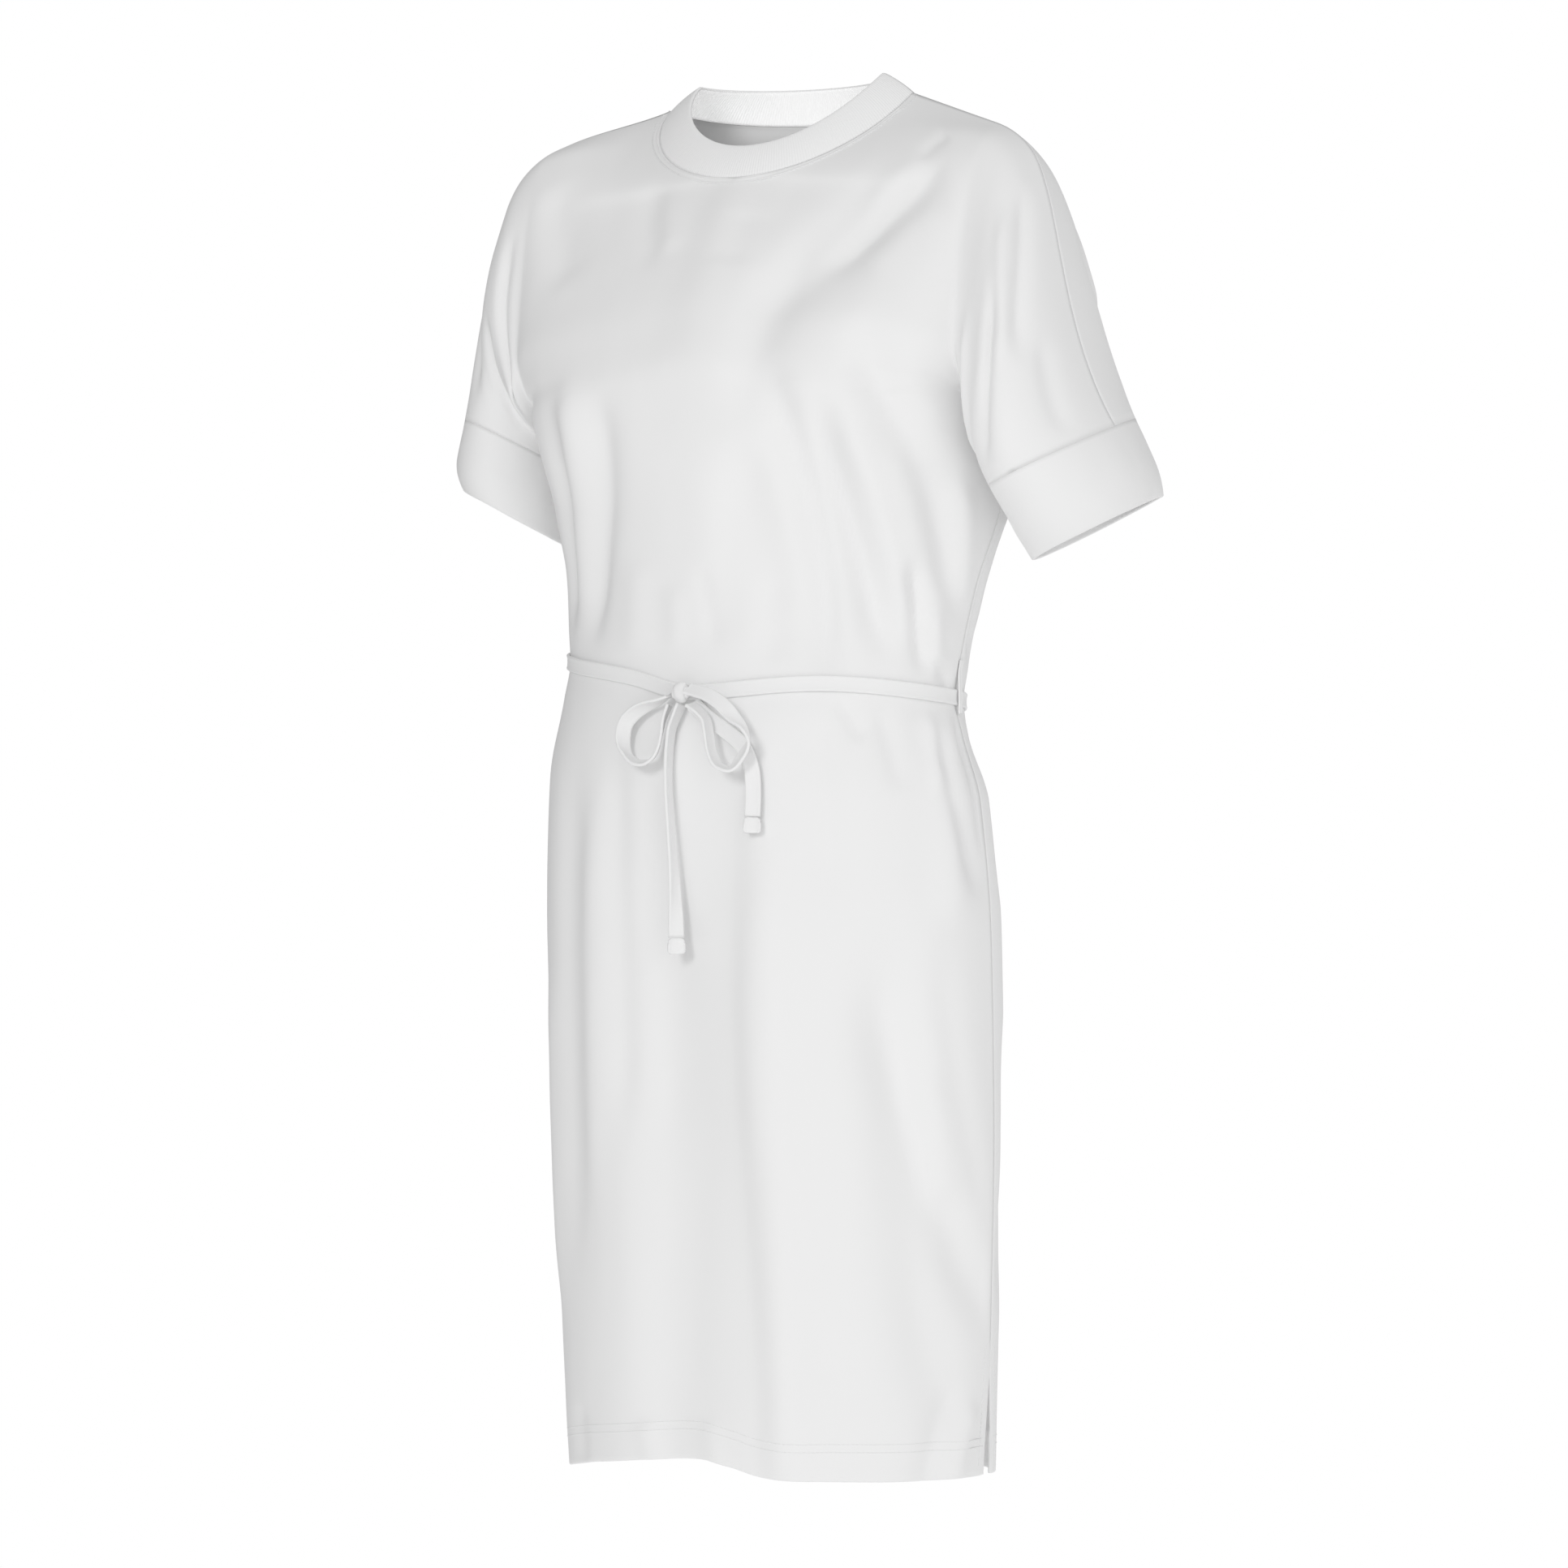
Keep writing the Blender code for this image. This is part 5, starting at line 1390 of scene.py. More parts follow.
def profile_loop():
    """The whole cross-section as shares of the half width and the half wall."""
    upper = [(row.across, row.thick) for row in BELT_PROFILE]
    lower = [(row.across, -row.thick) for row in BELT_PROFILE[-2:0:-1]]
    return np.array(upper + lower)


def sweep(name, run, looks, half_width, half_wall, closed=False):
    """A strip of tube cloth along a curve. looks is the way its broad side faces at each point."""
    run = np.asarray(run, float)
    if closed:
        along = unit(np.roll(run, -1, axis=0) - np.roll(run, 1, axis=0))
    else:
        along = unit(np.gradient(run, axis=0))
    sideways = unit(np.cross(along, looks))
    looks = unit(np.cross(sideways, along))
    loop = profile_loop()
    half_width = np.broadcast_to(half_width, len(run))
    half_wall = np.broadcast_to(half_wall, len(run))
    points = (
        run[:, None]
        + sideways[:, None] * loop[None, :, :1] * half_width[:, None, None]
        + looks[:, None] * loop[None, :, 1:] * half_wall[:, None, None]
    )
    rows, across = points.shape[:2]
    index = np.arange(rows * across).reshape(rows, across)
    index = np.column_stack([index, index[:, :1]])
    if closed:
        index = np.concatenate([index, index[:1]])
    faces = grid_quads(index, False).tolist()
    points = points.reshape(-1, 3)
    if not closed:
        faces += [index[0, :-1].tolist(), index[-1, -2::-1].tolist()]
    obj = add_smooth(name, points, faces)
    on_cloth = np.tile(loop[:, 0], rows) * np.repeat(half_width, across)
    along_cloth = np.repeat(distances(run), across)
    add_vectors(obj.data, "cloth", np.stack([on_cloth, along_cloth, np.zeros(rows * across)], axis=1))
    return obj


def turn_outwards(obj):
    """Turns the faces round if the closed mesh is inside out."""
    mesh = obj.data
    mesh.calc_loop_triangles()
    points = np.empty(len(mesh.vertices) * 3)
    mesh.vertices.foreach_get("co", points)
    triangles = np.empty(len(mesh.loop_triangles) * 3, np.int32)
    mesh.loop_triangles.foreach_get("vertices", triangles)
    corners = points.reshape(-1, 3)[triangles.reshape(-1, 3)]
    if np.sum(corners[:, 0] * np.cross(corners[:, 1], corners[:, 2])) < 0:
        mesh.flip_normals()


def front_place(across, drop):
    """How far forwards the front's outer face is, given from straight in front."""
    shares = np.linspace(0, 1, 61)
    row = body_row("front", drop_level(drop), shares)
    depth = fold_depth("front", math.copysign(1, across) * girth(row), np.full(61, drop))
    places = row[:, 1] - depth
    return float(np.interp(abs(across), row[::-1, 0], places[::-1]))


def bow_point(across, off, rise):
    """A place given from the knot: across, off the front's cloth, and up from the belt's middle."""
    drop = BELT_DROP - BELT_LINE[BELT_FRONT].rise - rise
    return np.array((across, front_place(across, drop) - off, -drop))


def strip_looks(faces, count):
    faces = np.asarray(faces, float)
    at = np.linspace(0, len(faces) - 1, count)
    return np.stack([np.interp(at, range(len(faces)), faces[:, i]) for i in range(3)], axis=1)


def bow_strip(strip, steps):
    """One strip of the bow: its curve, and the way its broad side looks along it."""
    points = [bow_point(*point) for point in strip.points]
    run = smooth_run(points, steps)
    return run, strip_looks(strip.faces, len(run))


# Materials


class Flow:
    """One output of a material's nodes, which can be used in sums."""

    def __init__(self, tree, socket=None):
        self.tree = tree
        self.socket = socket

    def node(self, kind, settings=None, inputs=None, output=0):
        """Adds a node: its settings first, and then the values or links of its sockets."""
        made = self.tree.nodes.new(kind)
        for key, value in (settings or {}).items():
            setattr(made, key, value)
        for key, value in (inputs or {}).items():
            if isinstance(value, Flow):
                self.tree.links.new(value.socket, made.inputs[key])
            else:
                made.inputs[key].default_value = value
        return Flow(self.tree, made.outputs[output])

    def math_node(self, operation, *values):
        return self.node("ShaderNodeMath", {"operation": operation}, dict(enumerate(values)))

    def __add__(self, other):
        return self.math_node("ADD", self, other)

    __radd__ = __add__

    def __mul__(self, other):
        return self.math_node("MULTIPLY", self, other)

    __rmul__ = __mul__

    def __sub__(self, other):
        return self.math_node("SUBTRACT", self, other)

    def __rsub__(self, other):
        return self.math_node("SUBTRACT", other, self)

    def __truediv__(self, other):
        return self.math_node("DIVIDE", self, other)

    def __pow__(self, other):
        return self.math_node("POWER", self, other)

    def sine(self):
        return self.math_node("SINE", self)

    def hump(self, centre, half_width):
        """1 at the centre and 0 beyond half a width to either side."""
        off = self.math_node("ABSOLUTE", (self - centre) / half_width)
        return self.node(
            "ShaderNodeMapRange",
            {"interpolation_type": "SMOOTHSTEP"},
            {"Value": off, "From Min": 0.0, "From Max": 1.0, "To Min": 1.0, "To Max": 0.0},
        )

    def attribute(self, name):
        return self.node("ShaderNodeAttribute", {"attribute_name": name}, None, 1)

    def place(self):
        """Where the shaded point is, in the object's own metres."""
        return self.node("ShaderNodeTexCoord", None, None, 3)

    def link(self, shader, name):
        self.tree.links.new(self.socket, shader.inputs[name])

    def parts(self):
        return [self.node("ShaderNodeSeparateXYZ", None, {0: self}, axis) for axis in range(3)]


def new_cloth(name):
    """A material with the plain settings of cotton. Returns it, its shader and a flow to add to."""
    material = bpy.data.materials.new(name)
    material.use_nodes = True
    tree = material.node_tree
    shader = tree.nodes["Principled BSDF"]
    shader.inputs["Roughness"].default_value = 0.92
    shader.inputs["Specular IOR Level"].default_value = 0.25
    shader.inputs["Sheen Weight"].default_value = 0.05
    shader.inputs["Sheen Roughness"].default_value = 0.5
    return material, shader, Flow(tree)


def knit_height(cloth, wale, course):
    """Height of plain knitting, 0 to 1: columns of loops that lean in to each other."""
    across, down, _ = cloth.parts()
    columns = across / wale
    lean = columns.math_node("PINGPONG", columns, 0.5) * 2.0
    loops = ((down / course + lean * 0.38) * (2 * math.pi)).sine() * 0.5 + 0.5
    ridge = 1 - lean * lean * 0.55
    return loops * 0.45 + ridge * 0.55


def mottle(flow, place, scale, detail):
    inputs = {"Vector": place, "Scale": scale, "Detail": detail, "Roughness": 0.55}
    return flow.node("ShaderNodeTexNoise", None, inputs)


def blend(flow, share, colour, other):
    """Mixes two colours, each a flow or plain numbers."""
    ends = [end if isinstance(end, Flow) else (*end, 1) for end in (colour, other)]
    inputs = {"Factor": share, 6: ends[0], 7: ends[1]}
    return flow.node("ShaderNodeMix", {"data_type": "RGBA"}, inputs, 2)


def streaks(flow, cloth):
    """Uneven yarn: short dashes along the rows of knitting."""
    spread = flow.node("ShaderNodeVectorMath", {"operation": "MULTIPLY"}, {0: cloth, 1: STREAK_SPREAD})
    return mottle(flow, spread, 1.0, 2.0)


def paint_cloth(shader, flow, cloth, height, variety, double):
    """Links the colour, the painted light of the inside and the relief of a cloth to its shader. double is
    1 where two layers lie.
    """
    tints = colours()
    colour = blend(flow, double, blend(flow, variety, tints.jersey, tints.shade), tints.double)
    colour.link(shader, "Base Color")
    # painted light: emission set by the third slot of the cloth attribute, standing in for light through
    # the cloth
    blend(flow, cloth.parts()[2], (0.0, 0.0, 0.0), tints.painted_glow).link(shader, "Emission Color")
    shader.inputs["Emission Strength"].default_value = 1.0
    bump = flow.node("ShaderNodeBump", None, {"Strength": 1.0, "Distance": 1.0, "Height": height})
    bump.link(shader, "Normal")


def jersey_material():
    """Plain jersey, with the ridge of its turned hem."""
    found = bpy.data.materials.get("jersey")
    if found:
        return found
    material, shader, flow = new_cloth("jersey")
    size = sizes()
    cloth = flow.attribute("cloth")
    hem = flow.attribute("sewn").parts()[1]
    place = flow.place()
    slub = mottle(flow, place, SLUB_SCALE, 3.0)
    soft = mottle(flow, place, SOFT_SCALE, 2.0)
    yarn = streaks(flow, cloth)
    height = knit_height(cloth, size.wale, size.course) * KNIT_RELIEF + slub * SLUB_RELIEF
    height = height + soft * SOFT_RELIEF + yarn * YARN_RELIEF
    for relief in HEM_RELIEFS:
        height = height + hem.hump(relief.centre, relief.half_width) * relief.height
    variety = yarn * 0.9 + soft * 0.3 + slub * 0.2 - 0.2
    turned = hem.hump(0.0, 0.0250) ** 0.15
    paint_cloth(shader, flow, cloth, height, variety, turned * 0.5)
    return material


def strip_material():
    """The same jersey on the belt and cuffs, where there is no hem."""
    found = bpy.data.materials.get("belt_jersey")
    if found:
        return found
    material, shader, flow = new_cloth("belt_jersey")
    size = sizes()
    cloth = flow.attribute("cloth")
    slub = mottle(flow, flow.place(), SLUB_SCALE, 3.0)
    knit = knit_height(cloth, size.wale, size.course)
    height = knit * STRIP_KNIT_RELIEF + slub * STRIP_SLUB_RELIEF
    paint_cloth(shader, flow, cloth, height, streaks(flow, cloth) * 0.7 + slub * 0.2, 0.7)
    return material


def rib_material():
    """Fine one-by-one rib, its ribs running from the seam to the folded edge."""
    material, shader, flow = new_cloth("rib")
    size = sizes()
    cloth = flow.attribute("cloth")
    across, down, _ = cloth.parts()
    ribs = (across * (2 * math.pi / size.rib)).sine() * 0.5 + 0.5
    loops = (down * (2 * math.pi / size.course)).sine() * 0.5 + 0.5
    slub = mottle(flow, flow.place(), RIB_SLUB_SCALE, 3.0)
    height = ribs * RIB_RELIEF + loops * LOOP_RELIEF + slub * SLUB_RELIEF
    paint_cloth(shader, flow, cloth, height, slub * 0.5 + ribs * 0.1, 0.9)
    return material


def thread_material():
    found = bpy.data.materials.get("thread")
    if found:
        return found
    material, shader, flow = new_cloth("thread")
    twist = mottle(flow, flow.place(), TWIST_SCALE, 2.0)
    blend(flow, twist, colours().thread, colours().shade).link(shader, "Base Color")
    return material


# Operators, one for each piece or group of pieces


class DRESS_OT_camera(Operator):
    """Set the camera where the photograph was taken from"""

    bl_idname = "dress.camera"
    bl_label = "Camera"

    def execute(self, context):
        view = studio()
        right = Vector((math.cos(view.azimuth), math.sin(view.azimuth), 0))
        back = Vector((math.sin(view.azimuth), -math.cos(view.azimuth), 0))
        camera = bpy.data.objects.new("camera", bpy.data.cameras.new("camera"))
        camera.data.lens = view.lens
        camera.data.sensor_width = 36
        camera.location = back * view.distance + right * view.sideways + Vector((0, 0, view.height))
        camera.rotation_euler = (math.radians(90), 0, view.azimuth)
        context.scene.collection.objects.link(camera)
        context.scene.camera = camera
        return {"FINISHED"}


class DRESS_OT_belt_tails(Operator):
    """Hang the two free ends of the belt from the knot"""

    bl_idname = "dress.belt_tails"
    bl_label = "Belt Tails"

    def execute(self, context):
        for strip in BOW_STRIPS:
            if not strip.name.startswith("belt_tail"):
                continue
            run, looks = bow_strip(strip, TAIL_STEPS)
            tail = sweep(strip.name + "_cloth", run, looks, BELT_WIDTH / 2, BELT_WALL / 2)
            finish_piece(tail, strip_material(), "belt_jersey", strip.name)
            tip = self.make_tip(strip, run, looks)
        return {"FINISHED"}

    def make_tip(self, strip, run, looks):
        """The end of the belt, folded over twice and sewn down."""
        down = unit(run[-1] - run[-4])
        steps = np.linspace(0, 1, TIP_STEPS + 1)
        path = run[-1] + down * (TIP_GAP + steps[:, None] * TIP_LENGTH)
        rounded_top = np.sin(np.clip(steps * 6, 0, 1) * math.pi / 2)
        rounded_end = np.sin(np.clip((1 - steps) * 5, 0.02, 1) * math.pi / 2)
        swell = rounded_top * rounded_end
        pinch = 1 - PINCH_DEPTH * bell((steps - PINCH_AT) / PINCH_HALF_WIDTH)
        widest = TIP_HALF_WIDTH + TIP_WIDENS * ease(steps * 3)
        half_width = widest * (0.72 + 0.28 * swell) * pinch
        half_wall = TIP_HALF_WALL + TIP_SWELLS * swell * pinch
        name = strip.name.replace("tail", "tip")
        looks = np.tile(looks[-1], (len(steps), 1))
        tip = sweep(name + "_cloth", path, looks, half_width, half_wall)
        return finish_piece(tip, strip_material(), "belt_jersey", name)


class DRESS_OT_panels(Operator):
    """Make the front and the back panel with their cut-on half sleeves"""

    bl_idname = "dress.panels"
    bl_label = "Front and Back"

    def execute(self, context):
        for panel in ("front", "back"):
            surface = panel_surface(panel)
            hem = surface.edges[:, 1]
            wall = np.where(hem < HEM_DEPTH, sizes().hem_wall, sizes().cloth_wall)
            at_slit = (surface.edges[:, 2] < FAR) & (hem < SLIT_LENGTH)
            round_rim = np.where((hem < HEM_EDGE_REACH) | at_slit, 1.0, 0.0)
            rim = rim_edges(surface.quads)
            ids = np.unique(rim)
            away = rim_directions(surface.points, surface.normals, rim, surface.quads, ids)
            off_neck = surface.edges[ids, 0] > NECK_EDGE_REACH
            faces_seam = off_neck & (np.abs(away[:, 1]) > SEAM_FACING)
            sewn = np.zeros(len(hem), bool)
            sewn[ids] = faces_seam & (round_rim[ids] == 0)
            # painted light inside the neck, strongest at the seam and fading away down the cloth
            painted_glow = 1 - ease(surface.edges[:, 0] / NECK_PAINTED_GLOW_REACH)
            cloth = build_shell(panel + "_cloth", surface, wall, round_rim, painted_glow, sewn)
            finish_piece(cloth, jersey_material(), "jersey", panel + "_panel")
        return {"FINISHED"}


class DRESS_OT_neck_band(Operator):
    """Make the rib band folded round the neck"""

    bl_idname = "dress.neck_band"
    bl_label = "Neck Band"

    def execute(self, context):
        places = []
        for panel, side in (("front", 1), ("front", -1), ("back", -1), ("back", 1)):
            shares = np.linspace(0, 1, BAND_COLUMNS + 1)
            if (panel, side) in (("front", -1), ("back", 1)):
                shares = shares[::-1]
            places += [(panel, side, share) for share in shares[:-1]]
        heights = np.linspace(0, 1, BAND_ROWS + 1)
        rows = [[self.band_point(*place, height) for place in places] for height in heights]
        grid = np.array(rows)
        place = np.stack(np.meshgrid(distances(grid[0]), distances(grid[:, 0])), axis=-1)
        surface = ring_surface(grid, place)
        top = (np.arange(len(surface.points)) >= len(surface.points) - len(places)) * 1.0
        wall = np.full(len(surface.points), sizes().band_wall)
        # the band's inside faces all get painted light, standing in for light through the rib
        band = build_shell("neck_band_cloth", surface, wall, top, np.full(len(wall), BAND_PAINTED_GLOW))
        finish_piece(band, rib_material(), "rib", "neck_band")
        return {"FINISHED"}

    def band_point(self, panel, side, share, height):
        mirror = np.array([side, 1, 1])
        angle = share * math.pi / 2
        front = panel == "front"
        reach = -BAND_FRONT_REACH if front else BAND_BACK_REACH
        drop = BAND_FRONT_DROP if front else BAND_BACK_DROP
        top = np.array(
            [
                BAND_HALF_WIDTH * math.cos(angle),
                reach * math.sin(angle),
                BAND_RISE - drop * math.sin(angle) ** BAND_DIP_POWER,
            ]
        )
        foot = neckline(panel, share) * mirror
        top = top * mirror
        bulge = unit(np.array([foot[0], foot[1], 0.06])) * BAND_BULGE * 4 * height * (1 - height)
        return foot + (top - foot) * height + bulge


def ring_surface(grid, place):
    """A closed band of cloth from a grid of points round it."""
    rows, columns = grid.shape[:2]
    index = np.arange(rows * columns).reshape(rows, columns)
    index = np.column_stack([index, index[:, :1]])
    points = grid.reshape(-1, 3)
    quads = grid_quads(index, False)
    middles = points[quads].mean(axis=1) - points.mean(axis=0)
    if np.sum(face_normals(points, quads) * middles) < 0:
        quads = quads[:, ::-1]
    edges = np.full((len(points), 3), FAR)
    return Surface(points, point_normals(points, quads), quads, place.reshape(-1, 2), edges, {})


class DRESS_OT_cuffs(Operator):
    """Make the deep turned-up cuffs"""

    bl_idname = "dress.cuffs"
    bl_label = "Cuffs"

    def execute(self, context):
        levels = np.linspace(0, 1, CUFF_COLUMNS + 1)
        around = [("front", level) for level in levels[:-1]]
        around += [("back", level) for level in levels[:0:-1]]
        for cuff in CUFFS:
            shares = np.linspace(0, 1, CUFF_ROWS + 1)
            rows = [[cuff_point(cuff, *place, share) for place in around] for share in shares]
            grid = np.array(rows)
            place = np.stack(np.meshgrid(distances(grid[0]), shares * CUFF_DEPTH), axis=-1)
            surface = ring_surface(grid, place)
            across, down = surface.place.T
            depth = strays(across, down * CUFF_STRAY_STRETCH, CUFF_STRAY_SEED + cuff.side)
            depth *= sizes().unevenness * CUFF_STRAY_SHARE * ease(down / SEAM_FADE)
            points = surface.points + surface.normals * depth[:, None]
            surface = surface._replace(points=points, normals=point_normals(points, surface.quads))
            wall = np.full(len(points), sizes().band_wall)
            mouth = np.where(down > CUFF_DEPTH / 2, 0.9, 0.0)
            cloth = build_shell(f"cuff_{cuff.name}_cloth", surface, wall, mouth, np.zeros(len(points)))
            finish_piece(cloth, strip_material(), "jersey", "cuff_" + cuff.name)
        return {"FINISHED"}


def belt_path():
    """The belt's middle line round the waist, clear of the creased cloth, and the way out."""
    points = []
    normals = []
    for panel in ("front", "back"):
        surface = panel_surface(panel)
        levels = panel_levels(panel)
        row = int(np.argmin(np.abs(levels - drop_level(BELT_DROP))))
        right = surface.grids["right"][row]
        left = surface.grids["left"][row][-2::-1]
        numbers = np.concatenate([right, left])
        if panel == "back":
            numbers = numbers[::-1]
        points.append(surface.points[numbers[1:-1]])
        normals.append(surface.normals[numbers[1:-1]])
    points = np.concatenate(points)
    normals = np.concatenate(normals)
    run = points + normals * (BELT_GAP + BELT_WALL / 2)
    smooth = round_smooth(run, BELT_SMOOTHING)
    outward = unit(round_smooth(normals, BELT_SMOOTHING))
    proud = np.sum((run - smooth) * normals, axis=1)
    near = range(-BELT_LIFT_REACH, BELT_LIFT_REACH + 1)
    proudest = np.maximum.reduce([np.roll(proud, shift) for shift in near])
    lift = np.maximum(round_smooth(proudest, BELT_LIFT_SMOOTHING), 0)
    return smooth + outward * lift[:, None], outward


def round_smooth(values, rounds):
    """Evens out values round a closed ring."""
    for _ in range(rounds):
        values = 0.5 * values + 0.25 * (np.roll(values, 1, axis=0) + np.roll(values, -1, axis=0))
    return values


class DRESS_OT_belt(Operator):
    """Run the narrow belt round the waist, through its two loops on the side seams"""

    bl_idname = "dress.belt"
    bl_label = "Belt"

    def execute(self, context):
        run, looks = belt_path()
        waist = sweep("belt_waist_cloth", run, looks, BELT_WIDTH / 2, BELT_WALL / 2, closed=True)
        finish_piece(waist, strip_material(), "belt_jersey", "belt_waist")
        for cuff in CUFFS:
            rise = float(read(BELT_LINE, "rise", 90 * cuff.side))
            points = []
            for point in BELT_LOOP_RUN:
                place = side_point("front", drop_level(BELT_DROP - point.rise)) * (cuff.side, 1, 1)
                points.append(place + (cuff.side * point.off, 0, rise))
            path = smooth_run(points, BELT_LOOP_STEPS)
            looks = np.tile((cuff.side, 0.0, 0.0), (len(path), 1))
            name = "belt_loop_" + cuff.name
            loop = sweep(name + "_cloth", path, looks, BELT_LOOP_WIDTH / 2, BELT_LOOP_WALL / 2)
            finish_piece(loop, strip_material(), "belt_jersey", name)
        return {"FINISHED"}


class DRESS_OT_bow(Operator):
    """Tie the bow: two loops and the knot"""

    bl_idname = "dress.bow"
    bl_label = "Bow"

    def execute(self, context):
        for strip in BOW_STRIPS:
            if strip.name.startswith("bow_loop"):
                run, looks = bow_strip(strip, LOOP_STEPS)
                loop = sweep(strip.name + "_cloth", run, looks, BELT_WIDTH / 2, BELT_WALL / 2)
                finish_piece(loop, strip_material(), "belt_jersey", strip.name)
        self.make_knot()
        return {"FINISHED"}

    def make_knot(self):
        """A lump of drawn-in belt with one turn of the belt wrapped over it."""
        centre = bow_point(*KNOT_CENTRE)
        points = []
        for i in range(KNOT_RINGS + 1):
            polar = math.pi * i / KNOT_RINGS
            for j in range(KNOT_ROUND_STEPS):
                turn = 2 * math.pi * j / KNOT_ROUND_STEPS
                out = math.sin(polar)
                way = np.array([math.cos(polar), out * math.cos(turn), out * math.sin(turn)])
                wrap = bell((way[0] - WRAP_AT) / WRAP_HALF_WIDTH)
                groove = bell((abs(way[0] - WRAP_AT) - GROOVE_AT) / GROOVE_HALF_WIDTH)
                pull = noise.noise(Vector((way[0] * 2.2, way[1] * 1.4, way[2] * 1.4)))
                size = 0.90 + 0.14 * wrap - 0.10 * groove + 0.07 * pull
                points.append(centre + way * size * np.array(KNOT_HALF_SIZES))
        index = np.arange(len(points)).reshape(KNOT_RINGS + 1, KNOT_ROUND_STEPS)
        index = np.column_stack([index, index[:, :1]])
        knot = add_smooth("bow_knot_cloth", points, grid_quads(index, False).tolist())
        place = np.array(points) - centre
        # the third slot, the place off the cloth, also feeds the painted light, faintly at the knot's back
        add_vectors(knot.data, "cloth", place[:, [0, 2, 1]])
        finish_piece(knot, strip_material(), "belt_jersey", "bow_knot")


# The raised line of the neck band's seam: how far from the seam, and its half width and height
NECK_RIDGE_AWAY = 0.0034
NECK_RIDGE_HALF_WIDTH = 0.0016
NECK_RIDGE_HALF_WALL = 0.0006

# Rows of topstitching: which of a panel's edges they follow, and how far from it
SLIT_STITCH_LENGTH = SLIT_LENGTH + 0.004
NECK_EDGE, HEM_EDGE, SIDE_EDGE = range(3)
# What the hem and the neck run round: its place from front to back, and the least depth
HEM_TURN = (0.5 * (RINGS[-1].front + RINGS[-1].back), 0.0)
NECK_TURN = (0.0, 0.001)

Row = namedtuple("Row", "name edge away")
STITCH_ROWS = [
    Row("hem_stitches", HEM_EDGE, 0.0252),
    Row("hem_stitches_lower", HEM_EDGE, 0.0196),
    Row("neck_stitches", NECK_EDGE, 0.0056),
    Row("slit_stitches", SIDE_EDGE, 0.0080),
]


def contour(surface, edge, away):
    """The line on a panel at one distance from an edge: its points and normals, in order."""
    values = surface.edges[:, edge]
    pairs = np.concatenate([surface.quads[:, [0, 1]], surface.quads[:, [1, 2]]])
    pairs = np.unique(np.sort(pairs, axis=1), axis=0)
    first, second = values[pairs[:, 0]], values[pairs[:, 1]]
    crossing = (first - away) * (second - away) < 0
    crossing &= np.maximum(first, second) < EDGE_REACH
    pairs = pairs[crossing]
    share = ((away - first[crossing]) / (second - first)[crossing])[:, None]
    points = surface.points[pairs[:, 0]] * (1 - share) + surface.points[pairs[:, 1]] * share
    normals = surface.normals[pairs[:, 0]] * (1 - share) + surface.normals[pairs[:, 1]] * share
    hem = surface.edges[pairs[:, 0], 1]
    return points, unit(normals), hem


def in_turn(points, middle, least):
    """The order of points round the body, from the wearer's right to the left."""
    return np.argsort(np.arctan2(points[:, 0], np.abs(points[:, 1] - middle) + least))


def add_stitches(lists, points, normals):
    """Adds the stitches of one line: short threads, each sunk a little at both ends."""
    size = sizes()
    pitch = size.stitch_length + size.stitch_gap
    length = distances(points)
    sides = STITCH_SIDES
    for start in np.arange(pitch, length[-1] - pitch, pitch):
        at = start + size.stitch_length * np.array([0.0, 0.2, 0.5, 0.8, 1.0])
        line = np.stack([np.interp(at, length, points[:, axis]) for axis in range(3)], axis=1)
        out = unit(np.stack([np.interp(at, length, normals[:, axis]) for axis in range(3)], axis=1))
        along = unit(line[-1] - line[0])
        side = unit(np.cross(along, out))
        sink = np.array([-0.6, 0.3, 0.6, 0.3, -0.6]) * size.thread_radius
        line = line + out * sink[:, None]
        first = len(lists[0])
        for row in range(5):
            for k in range(sides):
                turn = 2 * math.pi * k / sides
                spread = side[row] * math.cos(turn) + out[row] * math.sin(turn)
                lists[0].append(tuple(line[row] + spread * size.thread_radius))
        for row in range(4):
            for k in range(sides):
                a = first + row * sides + k
                b = first + row * sides + (k + 1) % sides
                lists[1].append((a, b, b + sides, a + sides))
        lists[1].append(tuple(first + k for k in range(sides)))
        lists[1].append(tuple(first + 4 * sides + k for k in reversed(range(sides))))


class DRESS_OT_stitching(Operator):
    """Sew the rows of topstitching along the neck, hem and side slits"""

    bl_idname = "dress.stitching"
    bl_label = "Topstitching"

    def execute(self, context):
        for panel in ("front", "back"):
            surface = panel_surface(panel)
            self.make_ridge(panel, surface)
            for row in STITCH_ROWS:
                lists = ([], [])
                points, normals, hem = contour(surface, row.edge, row.away)
                if row.edge == SIDE_EDGE:
                    for side in (-1, 1):
                        keep = (hem < SLIT_STITCH_LENGTH) & (points[:, 0] * side > 0)
                        order = np.argsort(points[keep][:, 2])
                        add_stitches(lists, points[keep][order], normals[keep][order])
                else:
                    turn = HEM_TURN if row.edge == HEM_EDGE else NECK_TURN
                    order = in_turn(points, *turn)
                    add_stitches(lists, points[order], normals[order])
                self.make_rows(f"{panel}_{row.name}", lists)
        return {"FINISHED"}

    def make_ridge(self, panel, surface):
        """The raised line where the neck band's seam is turned down and sewn."""
        points, normals, _ = contour(surface, NECK_EDGE, NECK_RIDGE_AWAY)
        order = in_turn(points, *NECK_TURN)
        run = smooth_run(points[order][::8], NECK_RIDGE_STEPS)
        at = np.linspace(0, 1, len(order))
        along = np.linspace(0, 1, len(run))
        looks = np.stack([np.interp(along, at, normals[order][:, axis]) for axis in range(3)], axis=1)
        name = panel + "_neck_ridge"
        ridge = sweep(name, run, looks, NECK_RIDGE_HALF_WIDTH, NECK_RIDGE_HALF_WALL)
        finish_piece(ridge, strip_material(), "jersey")

    def make_rows(self, name, lists):
        finish_piece(add_smooth(name, *lists), thread_material(), "jersey")


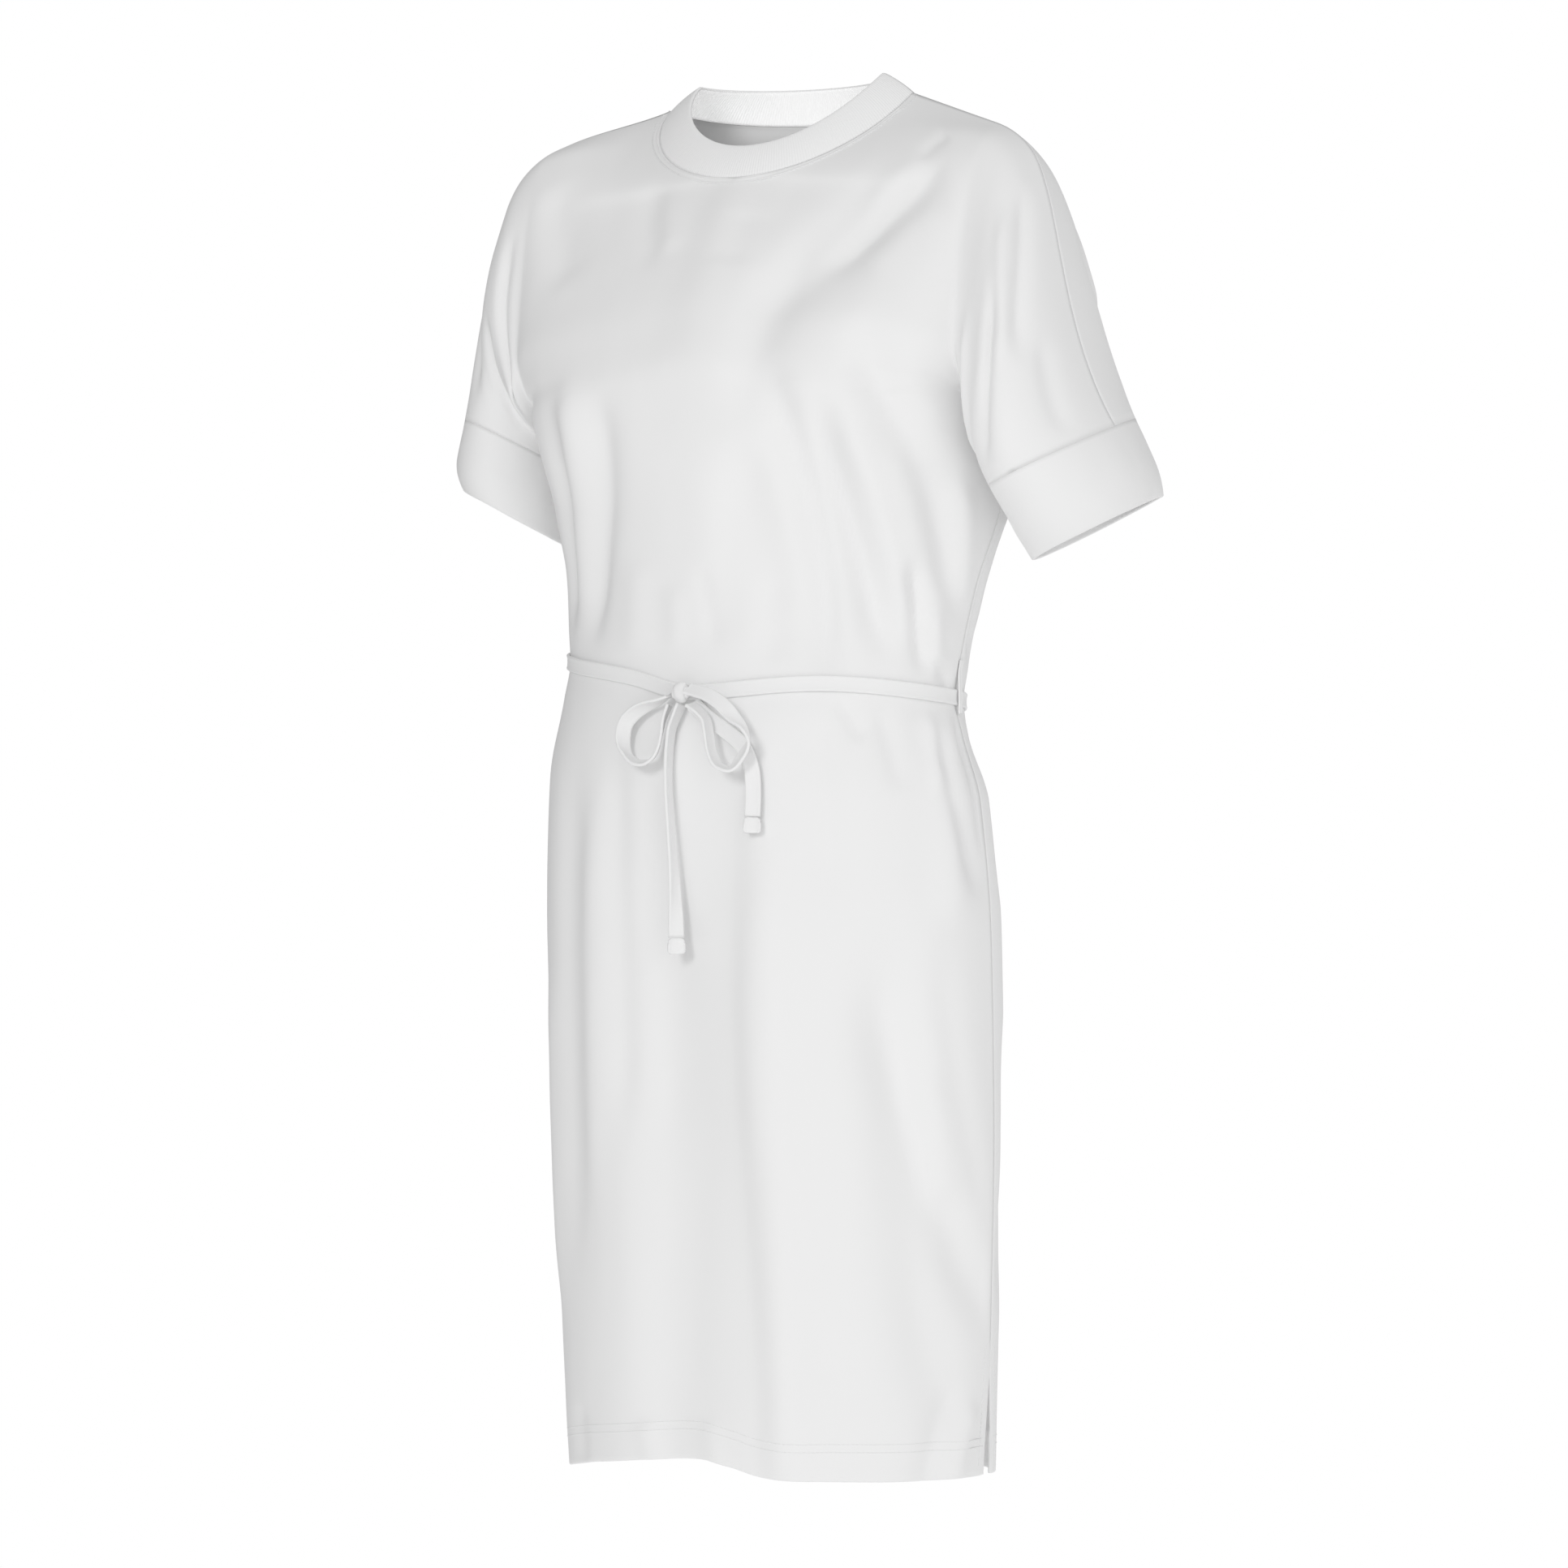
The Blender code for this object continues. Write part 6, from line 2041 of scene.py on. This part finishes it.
class DRESS_OT_studio(Operator):
    """Set up the pale floor and the soft light"""

    bl_idname = "dress.studio"
    bl_label = "Studio"

    def execute(self, context):
        self.make_floor()
        self.make_world(context)
        self.make_light("key_light", KEY_PLACE, KEY_SIZE, studio().key_watts)
        context.scene.view_settings.view_transform = "Standard"
        return {"FINISHED"}

    def make_floor(self):
        floor = bpy.data.objects.new("floor", bpy.data.meshes.new("floor"))
        turns = [2 * math.pi * k / FLOOR_SIDES for k in range(FLOOR_SIDES)]
        radius = studio().floor_radius
        rim = [(radius * math.cos(turn), radius * math.sin(turn), studio().floor_height) for turn in turns]
        floor.data.from_pydata(rim, [], [tuple(range(FLOOR_SIDES))])
        bpy.context.scene.collection.objects.link(floor)
        material = bpy.data.materials.new("floor_paint")
        material.use_nodes = True
        shader = material.node_tree.nodes["Principled BSDF"]
        shader.inputs["Roughness"].default_value = 1.0
        shader.inputs["Specular IOR Level"].default_value = 0.0
        shader.inputs["Emission Strength"].default_value = 1.0
        flow = Flow(material.node_tree)
        # painted light: the floor glows white at its rim and dimmer in the middle, a painted soft shade
        # under the dress, where its pale colour takes the real light
        away = flow.node("ShaderNodeVectorMath", {"operation": "LENGTH"}, {0: flow.place()}, 1)
        near = (away / radius).hump(0.0, 1.0)
        blend(flow, near, (0.0, 0.0, 0.0), FLOOR_MIDDLE).link(shader, "Base Color")
        blend(flow, near, colours().backdrop, FLOOR_PAINTED_SHADE_GLOW).link(shader, "Emission Color")
        floor.data.materials.append(material)

    def make_world(self, context):
        """White all round for the eye, and softer as a light, with more of it from one side."""
        world = bpy.data.worlds.new("studio")
        world.use_nodes = True
        context.scene.world = world
        tree = world.node_tree
        tree.nodes["Background"].inputs["Color"].default_value = (*colours().backdrop, 1)
        flow = Flow(tree)
        seen = flow.node("ShaderNodeLightPath")
        way = flow.node("ShaderNodeTexCoord")
        both = {0: way, 1: studio().bright_side}
        side = flow.node("ShaderNodeVectorMath", {"operation": "DOT_PRODUCT"}, both, 1)
        light = side * studio().from_side + studio().ambient
        (seen + (1 - seen) * light).link(tree.nodes["Background"], "Strength")

    def make_light(self, name, place, size, watts):
        data = bpy.data.lights.new(name, "AREA")
        data.shape = "DISK"
        data.size = size
        data.energy = watts
        light = bpy.data.objects.new(name, data)
        light.location = place
        aim = Vector(KEY_AIM) - Vector(place)
        light.rotation_euler = aim.to_track_quat("-Z", "Y").to_euler()
        bpy.context.scene.collection.objects.link(light)


class DRESS_PT_panel(Panel):
    """The dress's sizes, colours and pieces"""

    bl_idname = "DRESS_PT_panel"
    bl_label = "Belted Dress"
    bl_space_type = "VIEW_3D"
    bl_region_type = "UI"
    bl_category = "Dress"

    def draw(self, context):
        layout = self.layout
        for group in (context.scene.dress_sizes, context.scene.dress_colours, context.scene.dress_studio):
            box = layout.box()
            for name in group.__annotations__:
                box.prop(group, name)
        for operator in OPERATORS:
            layout.operator(operator.bl_idname)


OPERATORS = (
    DRESS_OT_camera,
    DRESS_OT_belt_tails,
    DRESS_OT_panels,
    DRESS_OT_neck_band,
    DRESS_OT_cuffs,
    DRESS_OT_belt,
    DRESS_OT_bow,
    DRESS_OT_stitching,
    DRESS_OT_studio,
)
CLASSES = (DressSizes, DressColours, DressStudio, *OPERATORS, DRESS_PT_panel)


def register():
    for cls in CLASSES:
        bpy.utils.register_class(cls)
    bpy.types.Scene.dress_sizes = PointerProperty(type=DressSizes)
    bpy.types.Scene.dress_colours = PointerProperty(type=DressColours)
    bpy.types.Scene.dress_studio = PointerProperty(type=DressStudio)


def unregister():
    del bpy.types.Scene.dress_studio
    del bpy.types.Scene.dress_colours
    del bpy.types.Scene.dress_sizes
    for cls in reversed(CLASSES):
        bpy.utils.unregister_class(cls)


def main():
    register()
    bpy.ops.dress.camera()
    bpy.ops.dress.belt_tails()
    bpy.ops.dress.panels()
    bpy.ops.dress.neck_band()
    bpy.ops.dress.cuffs()
    bpy.ops.dress.belt()
    bpy.ops.dress.bow()
    bpy.ops.dress.stitching()
    bpy.ops.dress.studio()


if __name__ == "__main__":
    main()
